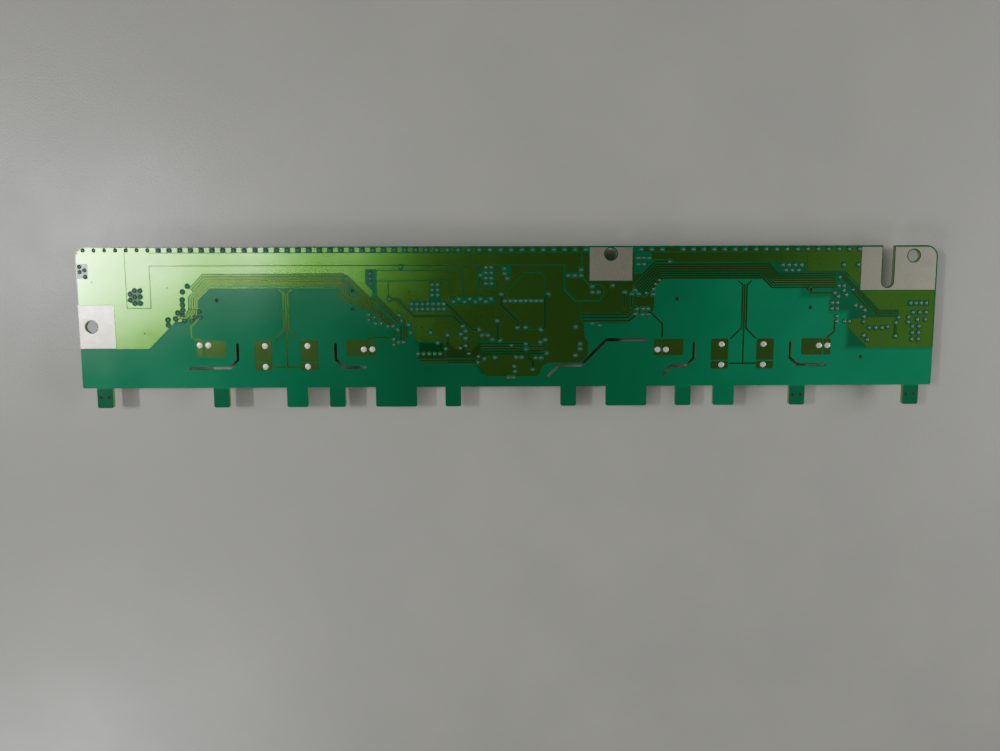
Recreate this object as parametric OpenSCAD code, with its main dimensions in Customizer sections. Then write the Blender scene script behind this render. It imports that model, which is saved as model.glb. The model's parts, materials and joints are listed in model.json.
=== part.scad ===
// Backlight inverter board for a flat panel with eight lamps. The soldered components hang
// below the board, and the printed side with its copper areas and earth lands faces up.

/* [Board] */
// Distance from one lamp finger to the next
lamp_pitch = 50; // [49.5:0.1:52]
// Left end of the board to the middle of the first lamp finger
first_lamp = 9.3; // [8.8:0.1:12]
// Middle of the last lamp finger to the right end of the board
last_lamp = 8.7; // [8.2:0.1:12]
// Board width without its fingers
board_w = 60.2; // [60:0.1:64]
// Laminate thickness
board_t = 1.6; // [1:0.1:2.4]
// Radius of the two corners on the screw side
top_corner_r = 5; // [2:0.5:7]
// Radius of the two corners on the finger side
low_corner_r = 0.8; // [0.2:0.1:2]

/* [Fingers] */
// How far the fingers stand out
finger_len = 8.6; // [6:0.1:11]
// Width of a lamp finger
lamp_finger_w = 6.8; // [5:0.1:9]
// Width of each of the two guide fingers
guide_finger_w = 9.2; // [7:0.1:11]
// Width of each of the two support fingers
support_finger_w = 17.8; // [12:0.1:22]
// Corner radius at the fingers' ends
finger_r = 0.9; // [0.3:0.1:1.5]

/* [Screw holes and locating slot] */
// Diameter of the three screw holes
hole_d = 5.2; // [3:0.1:5.6]
// Left end of the board to the left hole
left_hole_in = 5.3; // [4.5:0.1:6.5]
// Finger side of the board to the left hole
left_hole_up = 26.5; // [24:0.1:29]
// Screw side of the board to the middle hole
mid_hole_in = 3.4; // [3.4:0.1:6]
// Screw side of the board to the right hole
right_hole_in = 4.4; // [3.8:0.1:6]
// Right end of the board to the right hole
right_hole_end = 10.4; // [9:0.1:12]
// Width of the locating slot
slot_w = 5; // [3:0.1:6]
// Length of the locating slot
slot_len = 17.9; // [12:0.1:18]
// Right end of the board to the middle of the slot
slot_end = 21.3; // [19:0.1:23]

/* [Copper and tin] */
// Height of the copper areas with their mask
foil_t = 0.07; // [0.05:0.01:0.12]
// Height of the tinned lands
land_t = 0.1; // [0.06:0.01:0.2]
// Width of the gaps between copper areas
gap_w = 0.45; // [0.25:0.05:0.6]
// Clearance between a track and the copper beside it
track_gap = 0.35; // [0.2:0.05:0.5]
// Width of a single track
track_w = 0.7; // [0.4:0.05:0.9]
// Copper set back from the board's edge
edge_gap = 0.6; // [0.3:0.1:1]
// Tin set back around the screw holes and the slot
tin_gap = 0.4; // [0.2:0.1:0.8]
// Outside diameter of a via's ring
via_d = 1.4; // [1:0.1:1.6]
// Hole in a via's ring
via_hole_d = 0.5; // [0.3:0.1:0.7]
// Copper-free circle around a via
antipad_d = 2.6; // [1.8:0.1:3]
// Height of a via's ring
via_t = 0.09; // [0.05:0.01:0.15]
// Spacing of the row of vias along the screw side
stitch_pitch = 4.53; // [4:0.01:6]
// Diameter of a test pad
test_pad_d = 2.4; // [1.6:0.1:2.6]
// Height of a test pad above its plate
test_pad_t = 0.08; // [0.05:0.01:0.15]

/* [Capacitor plates and isolating slits] */
// Length of the lying plates, along the board
long_plate_l = 12.6; // [10:0.1:14]
// Width of the lying plates
long_plate_w = 7.1; // [6.6:0.1:9]
// Width of the standing plates
tall_plate_w = 7.4; // [6:0.1:9]
// Length of the standing plates, across the board
tall_plate_l = 13; // [11:0.1:14.5]
// Finger side of the board to the row of plates' upper edge
plate_top = 20.4; // [19.9:0.1:20.6]
// Corner radius of the plates
plate_r = 0.8; // [0.3:0.1:1.5]
// Width of an isolating slit
slit_w = 1.3; // [0.8:0.1:1.6]

/* [Transformers] */
// Length of a transformer's core
core_l = 50; // [44:0.5:52]
// Width of a transformer's core
core_w = 33; // [30:0.5:34]
// Height of a transformer's core
core_h = 6.6; // [5.5:0.1:8]
// Thickness of a core's outer legs
core_leg = 3.6; // [2.5:0.1:4]
// Width of a core's middle leg
mid_leg = 9; // [7:0.5:10]
// Height of a core's middle leg
mid_leg_h = 3.6; // [3:0.1:4]
// Thickness of the bobbin's walls
bobbin_wall = 0.8; // [0.6:0.1:1]
// Underside of the board to a transformer's core
core_lift = 2.4; // [2:0.1:3]
// Diameter of a bobbin's locating pegs
peg_d = 1.5; // [1:0.1:1.8]
// Air gap between the two halves of a core
air_gap = 0.2; // [0.05:0.05:0.4]

/* [Large components] */
// Diameter of a capacitor can
can_d = 8; // [6.3:0.1:8.3]
// Height of a capacitor can above its base
can_h = 6.2; // [4:0.1:7]
// Length of the input socket, along the board
socket_l = 20; // [16:0.5:21]
// Depth of the input socket
socket_w = 7; // [6:0.1:8]
// Height of the input socket
socket_h = 5.6; // [4.5:0.1:7]
// Number of contacts in the input socket
socket_ways = 12; // [6:1:14]
// Spacing of the contacts
socket_pitch = 1.25; // [1:0.05:1.3]
// Length and width of the choke
choke_w = 10; // [8:0.1:11]
// Height of the choke
choke_h = 5.2; // [4:0.1:6.5]

/* [Small components] */
// Body length of a power transistor
fet_l = 6.5; // [6:0.1:6.8]
// Body width of a power transistor
fet_w = 6.1; // [5.4:0.1:6.4]
// Body height of a power transistor
fet_h = 2.3; // [1.8:0.1:2.6]
// Height of the small chips' bodies
chip_body_h = 1.7; // [1.2:0.1:2]
// Spacing of the leads of the lamp controller
controller_pitch = 0.65; // [0.5:0.01:0.8]
// Length of a ceramic capacitor
ceramic_l = 3.2; // [2.6:0.1:3.4]
// Length of a resistor
resistor_l = 2; // [1.6:0.1:2.2]
// Thickness of the leads
lead_t = 0.25; // [0.15:0.01:0.35]

/* [Hidden] */
$fn = 48;

// The board lies with its middle over the origin. Heights count from the surface that the
// transformers rest on.
board_l = first_lamp + 7 * lamp_pitch + last_lamp;
tape_t = 0.15;
rest_h = core_lift + core_h;
under_z = rest_h;
top_z = under_z + board_t;
cut = 1;
fit = 0.05;

// Middle of lamp finger n, counted from 0
function lamp_x(n) = first_lamp + n * lamp_pitch;

// A transformer serves four lamps. Each section of the artwork keeps its place beside a
// transformer, and x in a section counts from the section's own datum.
left_tx = lamp_x(1.5) + 3.5;
right_tx = lamp_x(5.5) + 0.5;
left_x = left_tx - 87.8;
control_x = left_x + 120;
right_x = right_tx - 84.8;
tr_y = plate_top + 0.7 + core_w / 2;
peg_x = 28.9;
peg_y = 3.85;

// Screw holes and slot in the board's own plane
left_hole = [left_hole_in, left_hole_up];
mid_hole = [right_x + 27.2, board_w - mid_hole_in];
right_hole = [board_l - right_hole_end, board_w - right_hole_in];
slot_x = board_l - slot_end;
slot_y = board_w - slot_len + slot_w / 2;

// Earth lands: left edge, lower edge, length, width
left_land = [0.15, 17.3, 15, 18.3];
mid_land = [mid_hole[0] - 9.1, board_w - 14.7, 18.3, 14.1];
right_land = [board_l - 32.9, board_w - 19, 32.3, 18.3];
land_margin = 0.25;

// The artwork is drawn in three zones, which end at these distances from the finger side. The
// first keeps its place from the finger side, the last keeps it from the screw side, and the
// middle one closes up or spreads with the board's width.
zones = [21, 42, 60.2];
zone_w = zones[1] - zones[0];
function across(y) = y + (board_w - zones[2]) * min(max((y - zones[0]) / zone_w, 0), 1);

// Drawn points, moved along the board to their section
function at(x0, p) = [for (q = p) [x0 + q[0], across(q[1])]];

// Outline of a track of width w along the points p, with mitred corners
function unit(a, b) = (b - a) / norm(b - a);
function side(v) = [-v[1], v[0]];
function mitre(p, i, d) =
    let (n = len(p) - 1,
         a = unit(p[max(i - 1, 0)], p[max(i, 1)]),
         b = unit(p[min(i, n - 1)], p[min(i + 1, n)]),
         m = side(a) + side(b))
    p[i] + m * (2 * d / (m * m));
function beside(p, d) = [for (i = [0:len(p) - 1]) mitre(p, i, d)];
function longer(p, g) =
    let (n = len(p) - 1)
    [for (i = [0:n]) i == 0 ? p[0] - g * unit(p[0], p[1])
                   : i == n ? p[n] + g * unit(p[n - 1], p[n]) : p[i]];
function outline(p, w) =
    let (a = beside(p, w / 2), b = beside(p, -w / 2))
    concat(a, [for (i = [len(b) - 1:-1:0]) b[i]]);

// One track, or the clear space around it when grow is above 0
module track(p, w = track_w, grow = 0) {
    polygon(outline(longer(p, grow), w + 2 * grow));
}

module dots(p, d) {
    for (q = p) translate(q) circle(d = d);
}

// Rectangle with round corners: low corner, size, radius
module soft_square(at, size, r) {
    translate(at) {
        translate([r, 0]) square([size[0] - 2 * r, size[1]]);
        translate([0, r]) square([size[0], size[1] - 2 * r]);
        for (x = [r, size[0] - r], y = [r, size[1] - r]) translate([x, y]) circle(r);
    }
}

// From the board's own plane to the part's frame
module place() {
    translate([-board_l / 2, -(board_w - finger_len) / 2, 0]) children();
}

// A flat layer on the printed side, above the board by lift
module layer(t, lift = 0) {
    place() translate([0, 0, top_z + lift]) linear_extrude(t) children();
}

// Components: z counts from the component side of the board, away from it
module component_side() {
    place() translate([0, 0, under_z]) mirror([0, 0, 1]) children();
}

// ---------------------------------------------------------------- vias
left_vias = at(left_x, [
    [1.6, 51.9], [1.6, 49.7], [3.7, 50.4], [3.8, 47.7],
    [24.3, 41.8], [26.6, 41.7], [22.4, 40.3], [24.3, 39.1], [26.6, 39.2], [22.4, 37.9], [24.3, 36.4],
    [26.6, 36.4], [46.7, 43.6], [44.6, 41.2], [44.3, 37.9], [44.3, 35.7], [44.4, 33.5], [42.2, 32.3],
    [44.2, 31.2], [41.2, 29.8], [45, 29], [37.9, 29.3], [37.9, 27.1], [51.4, 32.8], [51.6, 30.4],
    [49.4, 30.4], [48, 28.8], [137.4, 51.5]
]);
control_vias = concat(at(control_x, [
    [3.6, 31.4], [3.6, 29.1], [6, 30.2], [6.6, 27.5], [8.8, 27.5], [11.7, 26.3], [14, 26.4], [15.9, 24.8],
    [14.1, 20.8], [14.1, 18.4], [16.2, 19.4], [18.4, 19.4], [16.6, 31], [17.4, 28.7], [20.7, 26.9],
    [21.4, 23.6], [29.9, 23.6], [37.2, 22.4], [32.9, 19.1], [36.4, 16.5], [12.4, 37.9],
    [43.7, 26.2], [45, 24.1], [42.9, 22.8], [45, 21], [44.9, 17.8], [42.7, 16.8], [46.3, 14.4],
    [50.7, 24.7], [52.1, 22.3], [54.6, 22.3], [56.5, 20.4], [58.6, 28.4], [59.8, 20], [60.4, 39.8],
    [67.3, 25.6], [70.8, 25.6], [77.5, 24.6], [80.5, 39.8], [79.2, 20.2], [77.2, 19.2], [64.6, 17.9],
    [71, 18.5], [71, 16.1], [79.8, 14.4], [50.4, 13.2], [53, 12.1], [57.6, 12.6], [50.2, 10.6],
    [66.8, 12.7], [69.2, 12.7], [75.1, 12.4], [77.5, 12.4], [65.9, 8.7], [66.3, 6.6], [73.9, 7.4],
    [63.4, 4], [65.6, 4]
]), at(control_x, [for (i = [0:4]) [24.4 + 2.4 * i, 14.4]]));
// Rows of vias that carry current between the two sides
power_vias = at(control_x, concat(
    [for (i = [0:7]) [62.1 + 2.2 * i, 37]],
    [for (i = [0:6], j = [0:1]) [22 + 2.3 * i, 33.6 + 2.2 * j]],
    [for (i = [0:7]) [40 + 2.3 * i, i % 2 == 0 ? 36.7 : 37.9]],
    [for (i = [0:1], j = [0:3]) [53.8 + 2.4 * i, 44.4 + 2.3 * j]],
    [for (i = [0:1], j = [0:2]) [30.8 + 2.4 * i, 39.6 + 2.2 * j]],
    [[51.6, 48], [4.4, 48.8], [4.4, 46.6], [4.8, 44.4], [61.7, 50.8], [61.9, 48.6], [63, 46.6]]));
right_vias = at(right_x, concat([
    [9, 47.7], [11.8, 47.7], [14.5, 50.1], [14.5, 47.7], [38.8, 55.1], [41.1, 55.1], [43.4, 55.1],
    [38.8, 52.4], [41.2, 52.4], [52.2, 53.5], [28, 43.4], [19.3, 43], [19.4, 40.6], [21.9, 40.6],
    [33.2, 40.5], [36.3, 39.7], [37.8, 41.4], [39.3, 39.8], [42.5, 40.2], [45.5, 39.7], [45.5, 41.9],
    [46.5, 44], [48.1, 45.7], [38.6, 33.4], [41.2, 33.4], [43.4, 33.4], [38.1, 31.2], [41, 31],
    [43.4, 31], [19.4, 27.2], [22.6, 26.4], [14.3, 18.4], [14.3, 16.2], [12.3, 25.8], [12.3, 13.4],
    [101, 52], [103.6, 52], [106.3, 52], [109, 52], [102.4, 49.8], [105, 49.8], [107.8, 49.8],
    [127.3, 52], [133.6, 52], [125.9, 46.7], [125.5, 43], [127.7, 43], [127.7, 41], [132, 41.3],
    [123.8, 40], [125.4, 38.5], [128.9, 39.2], [122.9, 35.8], [125.1, 35.8], [122.9, 33.3],
    [125.1, 33.3], [133.1, 34.6], [135.4, 34], [137.2, 32.5], [137, 29.7], [137, 27.5], [125.1, 30],
    [125.1, 27.8], [128.6, 27.7], [130.7, 27.7], [139.5, 24.9], [142.3, 24.9], [145.1, 24.9],
    [147.5, 25.3], [137.2, 21.6], [138.9, 19.7], [151.1, 27], [152.2, 29.3], [151.1, 21.3],
    [156.5, 29.4], [156.4, 27.3], [160.4, 28.4], [163.9, 28.4]],
    [for (i = [0:3]) [157.1 + 2.25 * i, 35.5]],
    [for (i = [0:2]) [158.4 + 2.8 * i, 31.5]],
    [for (i = [0:1], j = [0:2]) [158.4 + 2.8 * i, 19.9 + 2.8 * j]]));

// Row of vias along the screw side, which stops at the middle land. Beyond it the row goes on
// evenly to the right land, with its fourth via left out.
stitch_y = board_w - 1.5;
row_from = mid_land[0] + mid_land[2] + 3.7;
row_to = right_land[0] - 1.3;
row_steps = round((row_to - row_from) / stitch_pitch);
stitch_vias = concat(
    [for (x = [3.5:stitch_pitch:mid_land[0] - 1.5]) [x, stitch_y]],
    [for (i = [0:row_steps]) if (i != 3) [row_from + i * (row_to - row_from) / row_steps, stitch_y]]);

all_vias = concat(left_vias, control_vias, power_vias, right_vias, stitch_vias);

// ---------------------------------------------------------------- board
// A finger with round end corners, about its own middle
module finger(w) {
    translate([-w / 2, -finger_len + finger_r]) square([w, finger_len - finger_r + cut]);
    translate([-w / 2 + finger_r, -finger_len]) square([w - 2 * finger_r, finger_len]);
    for (s = [-1, 1]) translate([s * (w / 2 - finger_r), -finger_len + finger_r]) circle(finger_r);
}

guide_fingers = [lamp_x(2) - 17.3, lamp_x(5) + 17.8];
support_fingers = [lamp_x(2) + 25.4, lamp_x(5) - 24.8];

module board_outline() {
    translate([0, low_corner_r]) square([board_l, board_w - low_corner_r - top_corner_r]);
    translate([top_corner_r, board_w - top_corner_r - cut])
        square([board_l - 2 * top_corner_r, top_corner_r + cut]);
    translate([low_corner_r, 0]) square([board_l - 2 * low_corner_r, low_corner_r + cut]);
    for (x = [top_corner_r, board_l - top_corner_r])
        translate([x, board_w - top_corner_r]) circle(top_corner_r);
    for (x = [low_corner_r, board_l - low_corner_r]) translate([x, low_corner_r]) circle(low_corner_r);
    for (n = [0:7]) translate([lamp_x(n), 0]) finger(lamp_finger_w);
    for (x = guide_fingers) translate([x, 0]) finger(guide_finger_w);
    for (x = support_fingers) translate([x, 0]) finger(support_finger_w);
}

// The three screw holes and the open slot, widened by grow
module screw_cuts(grow = 0) {
    for (p = [left_hole, mid_hole, right_hole]) translate(p) circle(d = hole_d + 2 * grow);
    translate([slot_x, slot_y]) circle(d = slot_w + 2 * grow);
    translate([slot_x - slot_w / 2 - grow, slot_y]) square([slot_w + 2 * grow, slot_len]);
}

// Isolating slits between the high-voltage areas, each cut by one pass of a round cutter
slits = concat(
    [for (s = [[left_tx, -1, 41.6, 8.5], [left_tx, 1, 33.4, 8.6], [right_tx, 1, 36.4, 9]])
        [for (q = [[21, 18.5], [21, 12.1], [24.4, s[3]], [s[2], s[3]]]) [s[0] + s[1] * q[0], q[1]]]],
    [at(right_tx, [[-21, 18.5], [-21, 12.1], [-24.3, 8.9], [-30.7, 8.9], [-34.1, 5.5]])],
    [at(right_x, [[0.6, 4.6], [5, 9], [14.6, 9], [25.7, 20.1], [42.4, 20.1]])]);

module slit(p) {
    polygon(outline(p, slit_w));
    for (q = p) translate(q) circle(d = slit_w);
}

// Holes for the bobbins' pegs, three to a transformer, and one tooling hole
function peg_places(tx) = [[tx - peg_x, tr_y], [tx + peg_x, tr_y - peg_y], [tx + peg_x, tr_y + peg_y]];
peg_hole_d = peg_d + 2 * fit;
tooling_hole = [right_x + 136.7, 12.4];

module circuit_board() color([0.08, 0.42, 0.3]) place() translate([0, 0, under_z])
    linear_extrude(board_t) difference() {
        board_outline();
        screw_cuts();
        for (p = slits) slit(p);
        for (t = [left_tx, right_tx]) dots(peg_places(t), peg_hole_d);
        translate(tooling_hole) circle(d = peg_hole_d);
    }

// ---------------------------------------------------------------- tracks
// A bus is a set of tracks beside one middle line, each given as [distance from it, width]
module bus(p, lanes, grow = 0) {
    for (l = lanes) track(beside(p, l[0]), l[1], grow);
}

// Left bus: along the upper side of the transformer and down to its row of vias
left_bus_line = at(left_x, [[113.2, 45.8], [54.5, 45.8], [49.7, 41]]);
left_bus_down = at(left_x, [[112, 44.6], [55.2, 44.6], [48.9, 38.3], [48.9, 34]]);
left_outer_lanes = [[-2.35, 0.75], [-1.2, 0.75]];
left_inner_lanes = [[-1.35, 0.7], [-0.35, 0.7], [0.65, 0.7], [1.6, 0.6]];
left_fan = [
    at(left_x, [[47.3, 33.6], [47.3, 33.1], [45.4, 31.2], [44.9, 31.2]]),
    at(left_x, [[48.3, 33.6], [48.3, 32.7], [45.8, 30.2], [42, 30.2]]),
    at(left_x, [[49.2, 33.6], [49.2, 32.3], [48, 31.1], [48, 29.5]]),
    at(left_x, [[50.2, 33.6], [50.2, 32.2], [49.8, 31.2]]),
    at(left_x, [[51.1, 29.9], [47.4, 26.2], [47.4, 22.3], [48.7, 21], [52, 21]])
];
// The bus turns around the transformer's two right-hand pegs on its way to the control section
loop_line = at(left_x, [[111.9, 44.6], [113.2, 43.3], [113.2, 39.6], [115.4, 37.4], [118.6, 37.4],
                        [121.2, 34.9], [124.8, 34.9]]);
loop_lanes = [[-1.2, 0.6], [-0.3, 0.6], [0.6, 0.6], [1.4, 0.5]];
outer_run = at(left_x, [[114.1, 47.4], [123.9, 37.6], [127.3, 37.6], [136.9, 28]]);
outer_lanes = [[-0.7, 0.7], [0.3, 0.7]];
inner_run = at(left_x, [[118.6, 38.9], [121.2, 38.9], [133.2, 26.9]]);
inner_lanes = [[-1, 0.6], [-0.1, 0.6], [0.8, 0.6]];
drops = [
    at(left_x, [[126, 34.6], [126, 30.9]]), at(left_x, [[128.8, 32.3], [128.8, 28.2]]),
    at(left_x, [[131.8, 29.6], [131.8, 27]]), at(left_x, [[135.2, 24.1], [134.1, 23], [134.1, 21.5]]),
    at(left_x, [[138.4, 28.4], [138.4, 20.1]]), at(left_x, [[139.6, 26.1], [139.6, 21.2]]),
    at(left_x, [[137.2, 26.3], [137.2, 20.3]])
];

module left_tracks(grow = 0) {
    bus(left_bus_line, left_outer_lanes, grow);
    bus(left_bus_down, left_inner_lanes, grow);
    for (p = left_fan) track(p, 0.6, grow);
    bus(loop_line, loop_lanes, grow);
    bus(outer_run, outer_lanes, grow);
    bus(inner_run, inner_lanes, grow);
    for (p = drops) track(p, 0.6, grow);
}

module left_bus_tracks() color([0.5, 0.55, 0.25]) layer(foil_t) difference() {
    left_tracks();
    dots(concat(left_vias, control_vias), via_d);
}

// Tracks of the control section, and the long ones that cross its copper areas
crossing = [
    at(control_x, [[12.4, 37.9], [15.6, 37.9], [22.9, 30.6], [39.6, 30.6], [43.7, 26.5]]),
    at(control_x, [[35.8, 35.8], [37.1, 35.6], [48.1, 24.6], [50.7, 24.6]]),
    at(control_x, [[80.5, 39.8], [79.1, 38.4], [79.1, 26], [77.7, 24.6]]),
    at(control_x, [[60.4, 39.8], [60.4, 35.2], [67.3, 28.3], [67.3, 25.6]]),
    at(control_x, [[58.6, 28.4], [58.6, 21.2], [59.4, 20.4]]),
    at(control_x, [[37.3, 22.4], [37.3, 18.2], [39.8, 15.7], [43, 15.7], [44.7, 17.4]])
];
control_lanes = [[-2.2, 0.6], [-1.1, 0.6], [0, 0.6], [1.1, 0.6], [2.2, 0.6]];
control_run = at(control_x, [[37, 12.8], [48.6, 12.8], [52.2, 16.4], [69.9, 16.4]]);
control_stubs = [
    at(control_x, [[3.2, plate_top + 0.35], [4.3, 21.5], [13.6, 21.5]]),
    at(control_x, [[24, 12.5], [36, 12.5]]), at(control_x, [[25.2, 11.4], [49, 11.4]]),
    at(control_x, [[71, 19.2], [72.8, 17.4], [78.6, 17.4], [79.6, 18.4]]),
    at(control_x, [[72, 14.3], [79, 14.3]]), at(control_x, [[71.8, 15.6], [78, 15.6]]),
    at(control_x, [[65.9, 8], [65.9, 7.3]]), at(control_x, [[71.6, 13], [73.9, 10.7], [73.9, 8.1]])
];

module control_runs(grow = 0) {
    for (p = crossing) track(p, track_w, grow);
    bus(control_run, control_lanes, grow);
    for (p = control_stubs) track(p, 0.6, grow);
}

module control_tracks() color([0.35, 0.45, 0.2]) layer(foil_t) difference() {
    control_runs();
    dots(concat(control_vias, power_vias), via_d);
}

// Right bus: from the middle earth area, along the second transformer, to the power input
right_lanes = [for (i = [0:6]) [-3 + i * 0.98, 0.65]];
right_bus_line = at(right_x, [[39.4, 40.9], [48, 49.5], [93.9, 49.5], [98, 45.4], [124.3, 45.4]]);
top_lane = at(right_x, [[41, 48.2], [46.4, 53.6], [51.6, 53.6]]);
right_down = at(right_x, [[126.6, 46.6], [127.6, 46.6], [143, 31.2], [152, 31.2]]);
right_down_lanes = [[0.9, 0.65], [-0.1, 0.65]];
right_stubs = [
    at(right_x, [[111.8, 42.2], [113.6, 40], [123.1, 40]]),
    at(right_x, [[121.6, plate_top + 0.35], [124.6, 23.4], [124.6, 27.4]]),
    at(right_x, [[132, 41.3], [132.6, 39.5], [139.9, 32.2]]),
    at(right_x, [[138.4, 30], [152.2, 30]]),
    at(right_x, [[151.1, 26.3], [151.1, 22]]), at(right_x, [[15, 31.1], [32.4, 31.1]]),
    at(right_x, [[14.8, 29.7], [34.6, 29.7], [37.4, 32.5]]),
    at(right_x, [[15.2, 28.3], [35.4, 28.3], [38, 30.4]]),
    at(right_x, [[43.6, 32.2], [45.2, 31.4], [49.8, 26.8], [49.8, 20.9]]),
    at(right_x, [[33.2, 39.8], [33.2, 33.4]]), at(right_x, [[36.3, 39], [36.3, 34.4], [38.2, 34]])
];

module right_tracks(grow = 0) {
    bus(right_bus_line, right_lanes, grow);
    track(top_lane, 0.6, grow);
    bus(right_down, right_down_lanes, grow);
    for (p = right_stubs) track(p, 0.6, grow);
}

module right_bus_tracks() color([0.3, 0.45, 0.2]) layer(foil_t) difference() {
    right_tracks();
    dots(right_vias, via_d);
    dots(peg_places(right_tx), peg_d + 2 * track_gap);
}

// Sense tracks: three lines from a transformer's middle, which fork to its inner plates
module sense_fork(tx, top, foot) {
    x = tx + 0.3;
    for (s = [-1, 1])
        track(at(x, [[s * 2.9, top], [s * 0.95, top - 1.6], [s * 0.95, 25],
                     [s * 5.5, plate_top + 0.05]]), 0.55);
    track(at(x, [[0, top - 1.4], [0, foot + 0.3]]), 0.55);
    track(at(x, [[-5.9, foot], [5.7, foot]]), 0.6);
}

module sense_tracks() color([0.35, 0.5, 0.3]) layer(foil_t) {
    difference() {
        sense_fork(left_tx, 42.2, 8.9);
        hv_plates(left_tx);
    }
    difference() {
        sense_fork(right_tx, 45.2, 9.7);
        hv_plates(right_tx);
    }
}

// ---------------------------------------------------------------- plates and test pads
// Each transformer feeds two standing and two lying plates. A thin gap divides each plate into
// a large and a small field, with a test pad on each field.
long_plate_x = 32.1;
tall_plate_x = 9.9;
pad_reach = 1.6;
left_pads = [18.4, 16.4];
right_pads = [15.8, 17.3];

function long_gap_x(tx, s) = tx + s * (long_plate_x + 3);
tall_gap_y = plate_top - 9.5;

module whole_plates(tx) {
    for (s = [-1, 1]) {
        soft_square([tx + s * long_plate_x - long_plate_l / 2, plate_top - long_plate_w],
                    [long_plate_l, long_plate_w], plate_r);
        soft_square([tx + s * tall_plate_x - tall_plate_w / 2, plate_top - tall_plate_l],
                    [tall_plate_w, tall_plate_l], plate_r);
    }
}

module hv_plates(tx) difference() {
    whole_plates(tx);
    for (s = [-1, 1]) {
        translate([long_gap_x(tx, s) - gap_w / 2, plate_top - long_plate_w - cut])
            square([gap_w, long_plate_w + 2 * cut]);
        translate([tx + s * tall_plate_x - tall_plate_w / 2 - cut, tall_gap_y - gap_w / 2])
            square([tall_plate_w + 2 * cut, gap_w]);
    }
}

function pads_of(tx, pads) = concat(
    [for (s = [-1, 1], d = [-1, 1])
        [long_gap_x(tx, s) + d * (pad_reach + gap_w / 2), s < 0 ? pads[0] : pads[1]]],
    [for (s = [-1, 1], y = [plate_top - 2.4, tall_gap_y - pad_reach - gap_w / 2])
        [tx + s * (tall_plate_x - 0.8), y]]);

module left_capacitor_plates() color([0.42, 0.45, 0.15]) layer(foil_t) hv_plates(left_tx);
module right_capacitor_plates() color([0.42, 0.45, 0.15]) layer(foil_t) hv_plates(right_tx);

module test_pads() color([0.95, 0.95, 0.92]) layer(test_pad_t, foil_t) {
    dots(pads_of(left_tx, left_pads), test_pad_d);
    dots(pads_of(right_tx, right_pads), test_pad_d);
}

module via_rings() color([0.6, 0.85, 0.65]) layer(via_t) difference() {
    dots(all_vias, via_d);
    dots(all_vias, via_hole_d);
}

// ---------------------------------------------------------------- copper areas
strip_y = zones[2] - 2.85;
gap_y = strip_y - 5.2;
strip_top = across(strip_y);
gap_low = across(gap_y);

// A thin gap in a copper area
module gap_line(p) {
    polygon(outline(p, gap_w));
}

// Lower edge of the supply area: it dips around its three blocks of vias
supply_edge = concat(
    at(left_x, [[20.8, strip_y], [20.8, 34.3], [31, 34.3], [31, gap_y]]),
    at(control_x, [[50.5, gap_y], [50.5, 41.8], [57.8, 41.8], [57.8, gap_y]]),
    at(right_x, [[7.6, gap_y], [7.6, 42], [12.2, 37], [22.4, 37], [24.2, 39.6], [24.2, 42.4],
                 [23, 43.7], [18, 43.7], [15.2, 46.5], [14.6, strip_y]]));

module supply_pour() color([0.6, 0.7, 0.25]) layer(foil_t) difference() {
    polygon(beside(supply_edge, gap_w / 2));
    screw_cuts(tin_gap);
    dots(concat(left_vias, right_vias), antipad_d);
    polygon(at(control_x, [[50.4, 49.6], [50.4, 46.6], [52.6, 46.2], [52.6, 43], [57.4, 43], [57.4, 52],
                           [53, 52], [52.6, 49.8]]));
    polygon(at(right_x, [[7.9, 49], [7.9, 46.5], [15, 46.5], [15, 51.4], [13.3, 51.4], [13.3, 49]]));
    polygon(at(left_x, [[22.4, 36.4], [26.6, 36.4], [26.6, 41.8], [22.4, 41.8]]));
}

// What lies outside the round corner around x, on the side s
module corner_margin(x, s) {
    translate([x, board_w - top_corner_r]) mirror([s < 0 ? 1 : 0, 0, 0]) difference() {
        square(top_corner_r);
        circle(top_corner_r - edge_gap);
    }
}

// Everything that the left earth area and the control areas keep clear of
module control_clearance() {
    gap_line(longer(supply_edge, cut));
    left_tracks(track_gap);
    control_runs(track_gap);
    dots(control_vias, antipad_d);
    dots(left_vias, antipad_d);
    dots(peg_places(left_tx), peg_d + 2 * track_gap + 0.6);
}

module left_earth_pour() color([0.62, 0.8, 0.5]) layer(foil_t) difference() {
    polygon(concat(
        [[edge_gap, left_land[1] - 0.3], [left_x + 29.3, left_land[1] - 0.3]],
        at(left_x, [[40.9, 28.6], [43.4, 28.6], [46.6, 33.9], [46.6, 38.8], [56, 48.2], [114.4, 48.2],
                    [123.6, 39], [125.3, 39.3], [125.2, 41.4], [122.3, 44.3], [122.3, 50.6],
                    [127.3, 50.6], [127.3, 50.2], [150, 50.2]]),
        at(control_x, [[43.5, 50.2], [44.4, 49.3], [44.4, 39.2], [50.2, 39.2], [50.2, gap_y]]),
        [[left_x + 31, gap_low], [left_x + 31, strip_top + gap_w], [left_x + 33.8, strip_top + gap_w],
         [left_x + 33.8, board_w - edge_gap], [edge_gap, board_w - edge_gap]]));
    corner_margin(top_corner_r, -1);
    translate([-cut, left_land[1] - cut])
        square([cut + left_land[0] + left_land[2] + land_margin, left_land[3] + cut + land_margin]);
    polygon(at(left_x, [[20.8, strip_y], [20.8, 34.3], [31, 34.3], [31, strip_y]]));
    control_clearance();
    dots(stitch_vias, antipad_d - 0.6);
    translate([left_x + 0.4, across(46.8)]) square([4.8, 6.4]);
    translate([left_x + 42.9, across(31.8)]) square(1.3);
}

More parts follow.
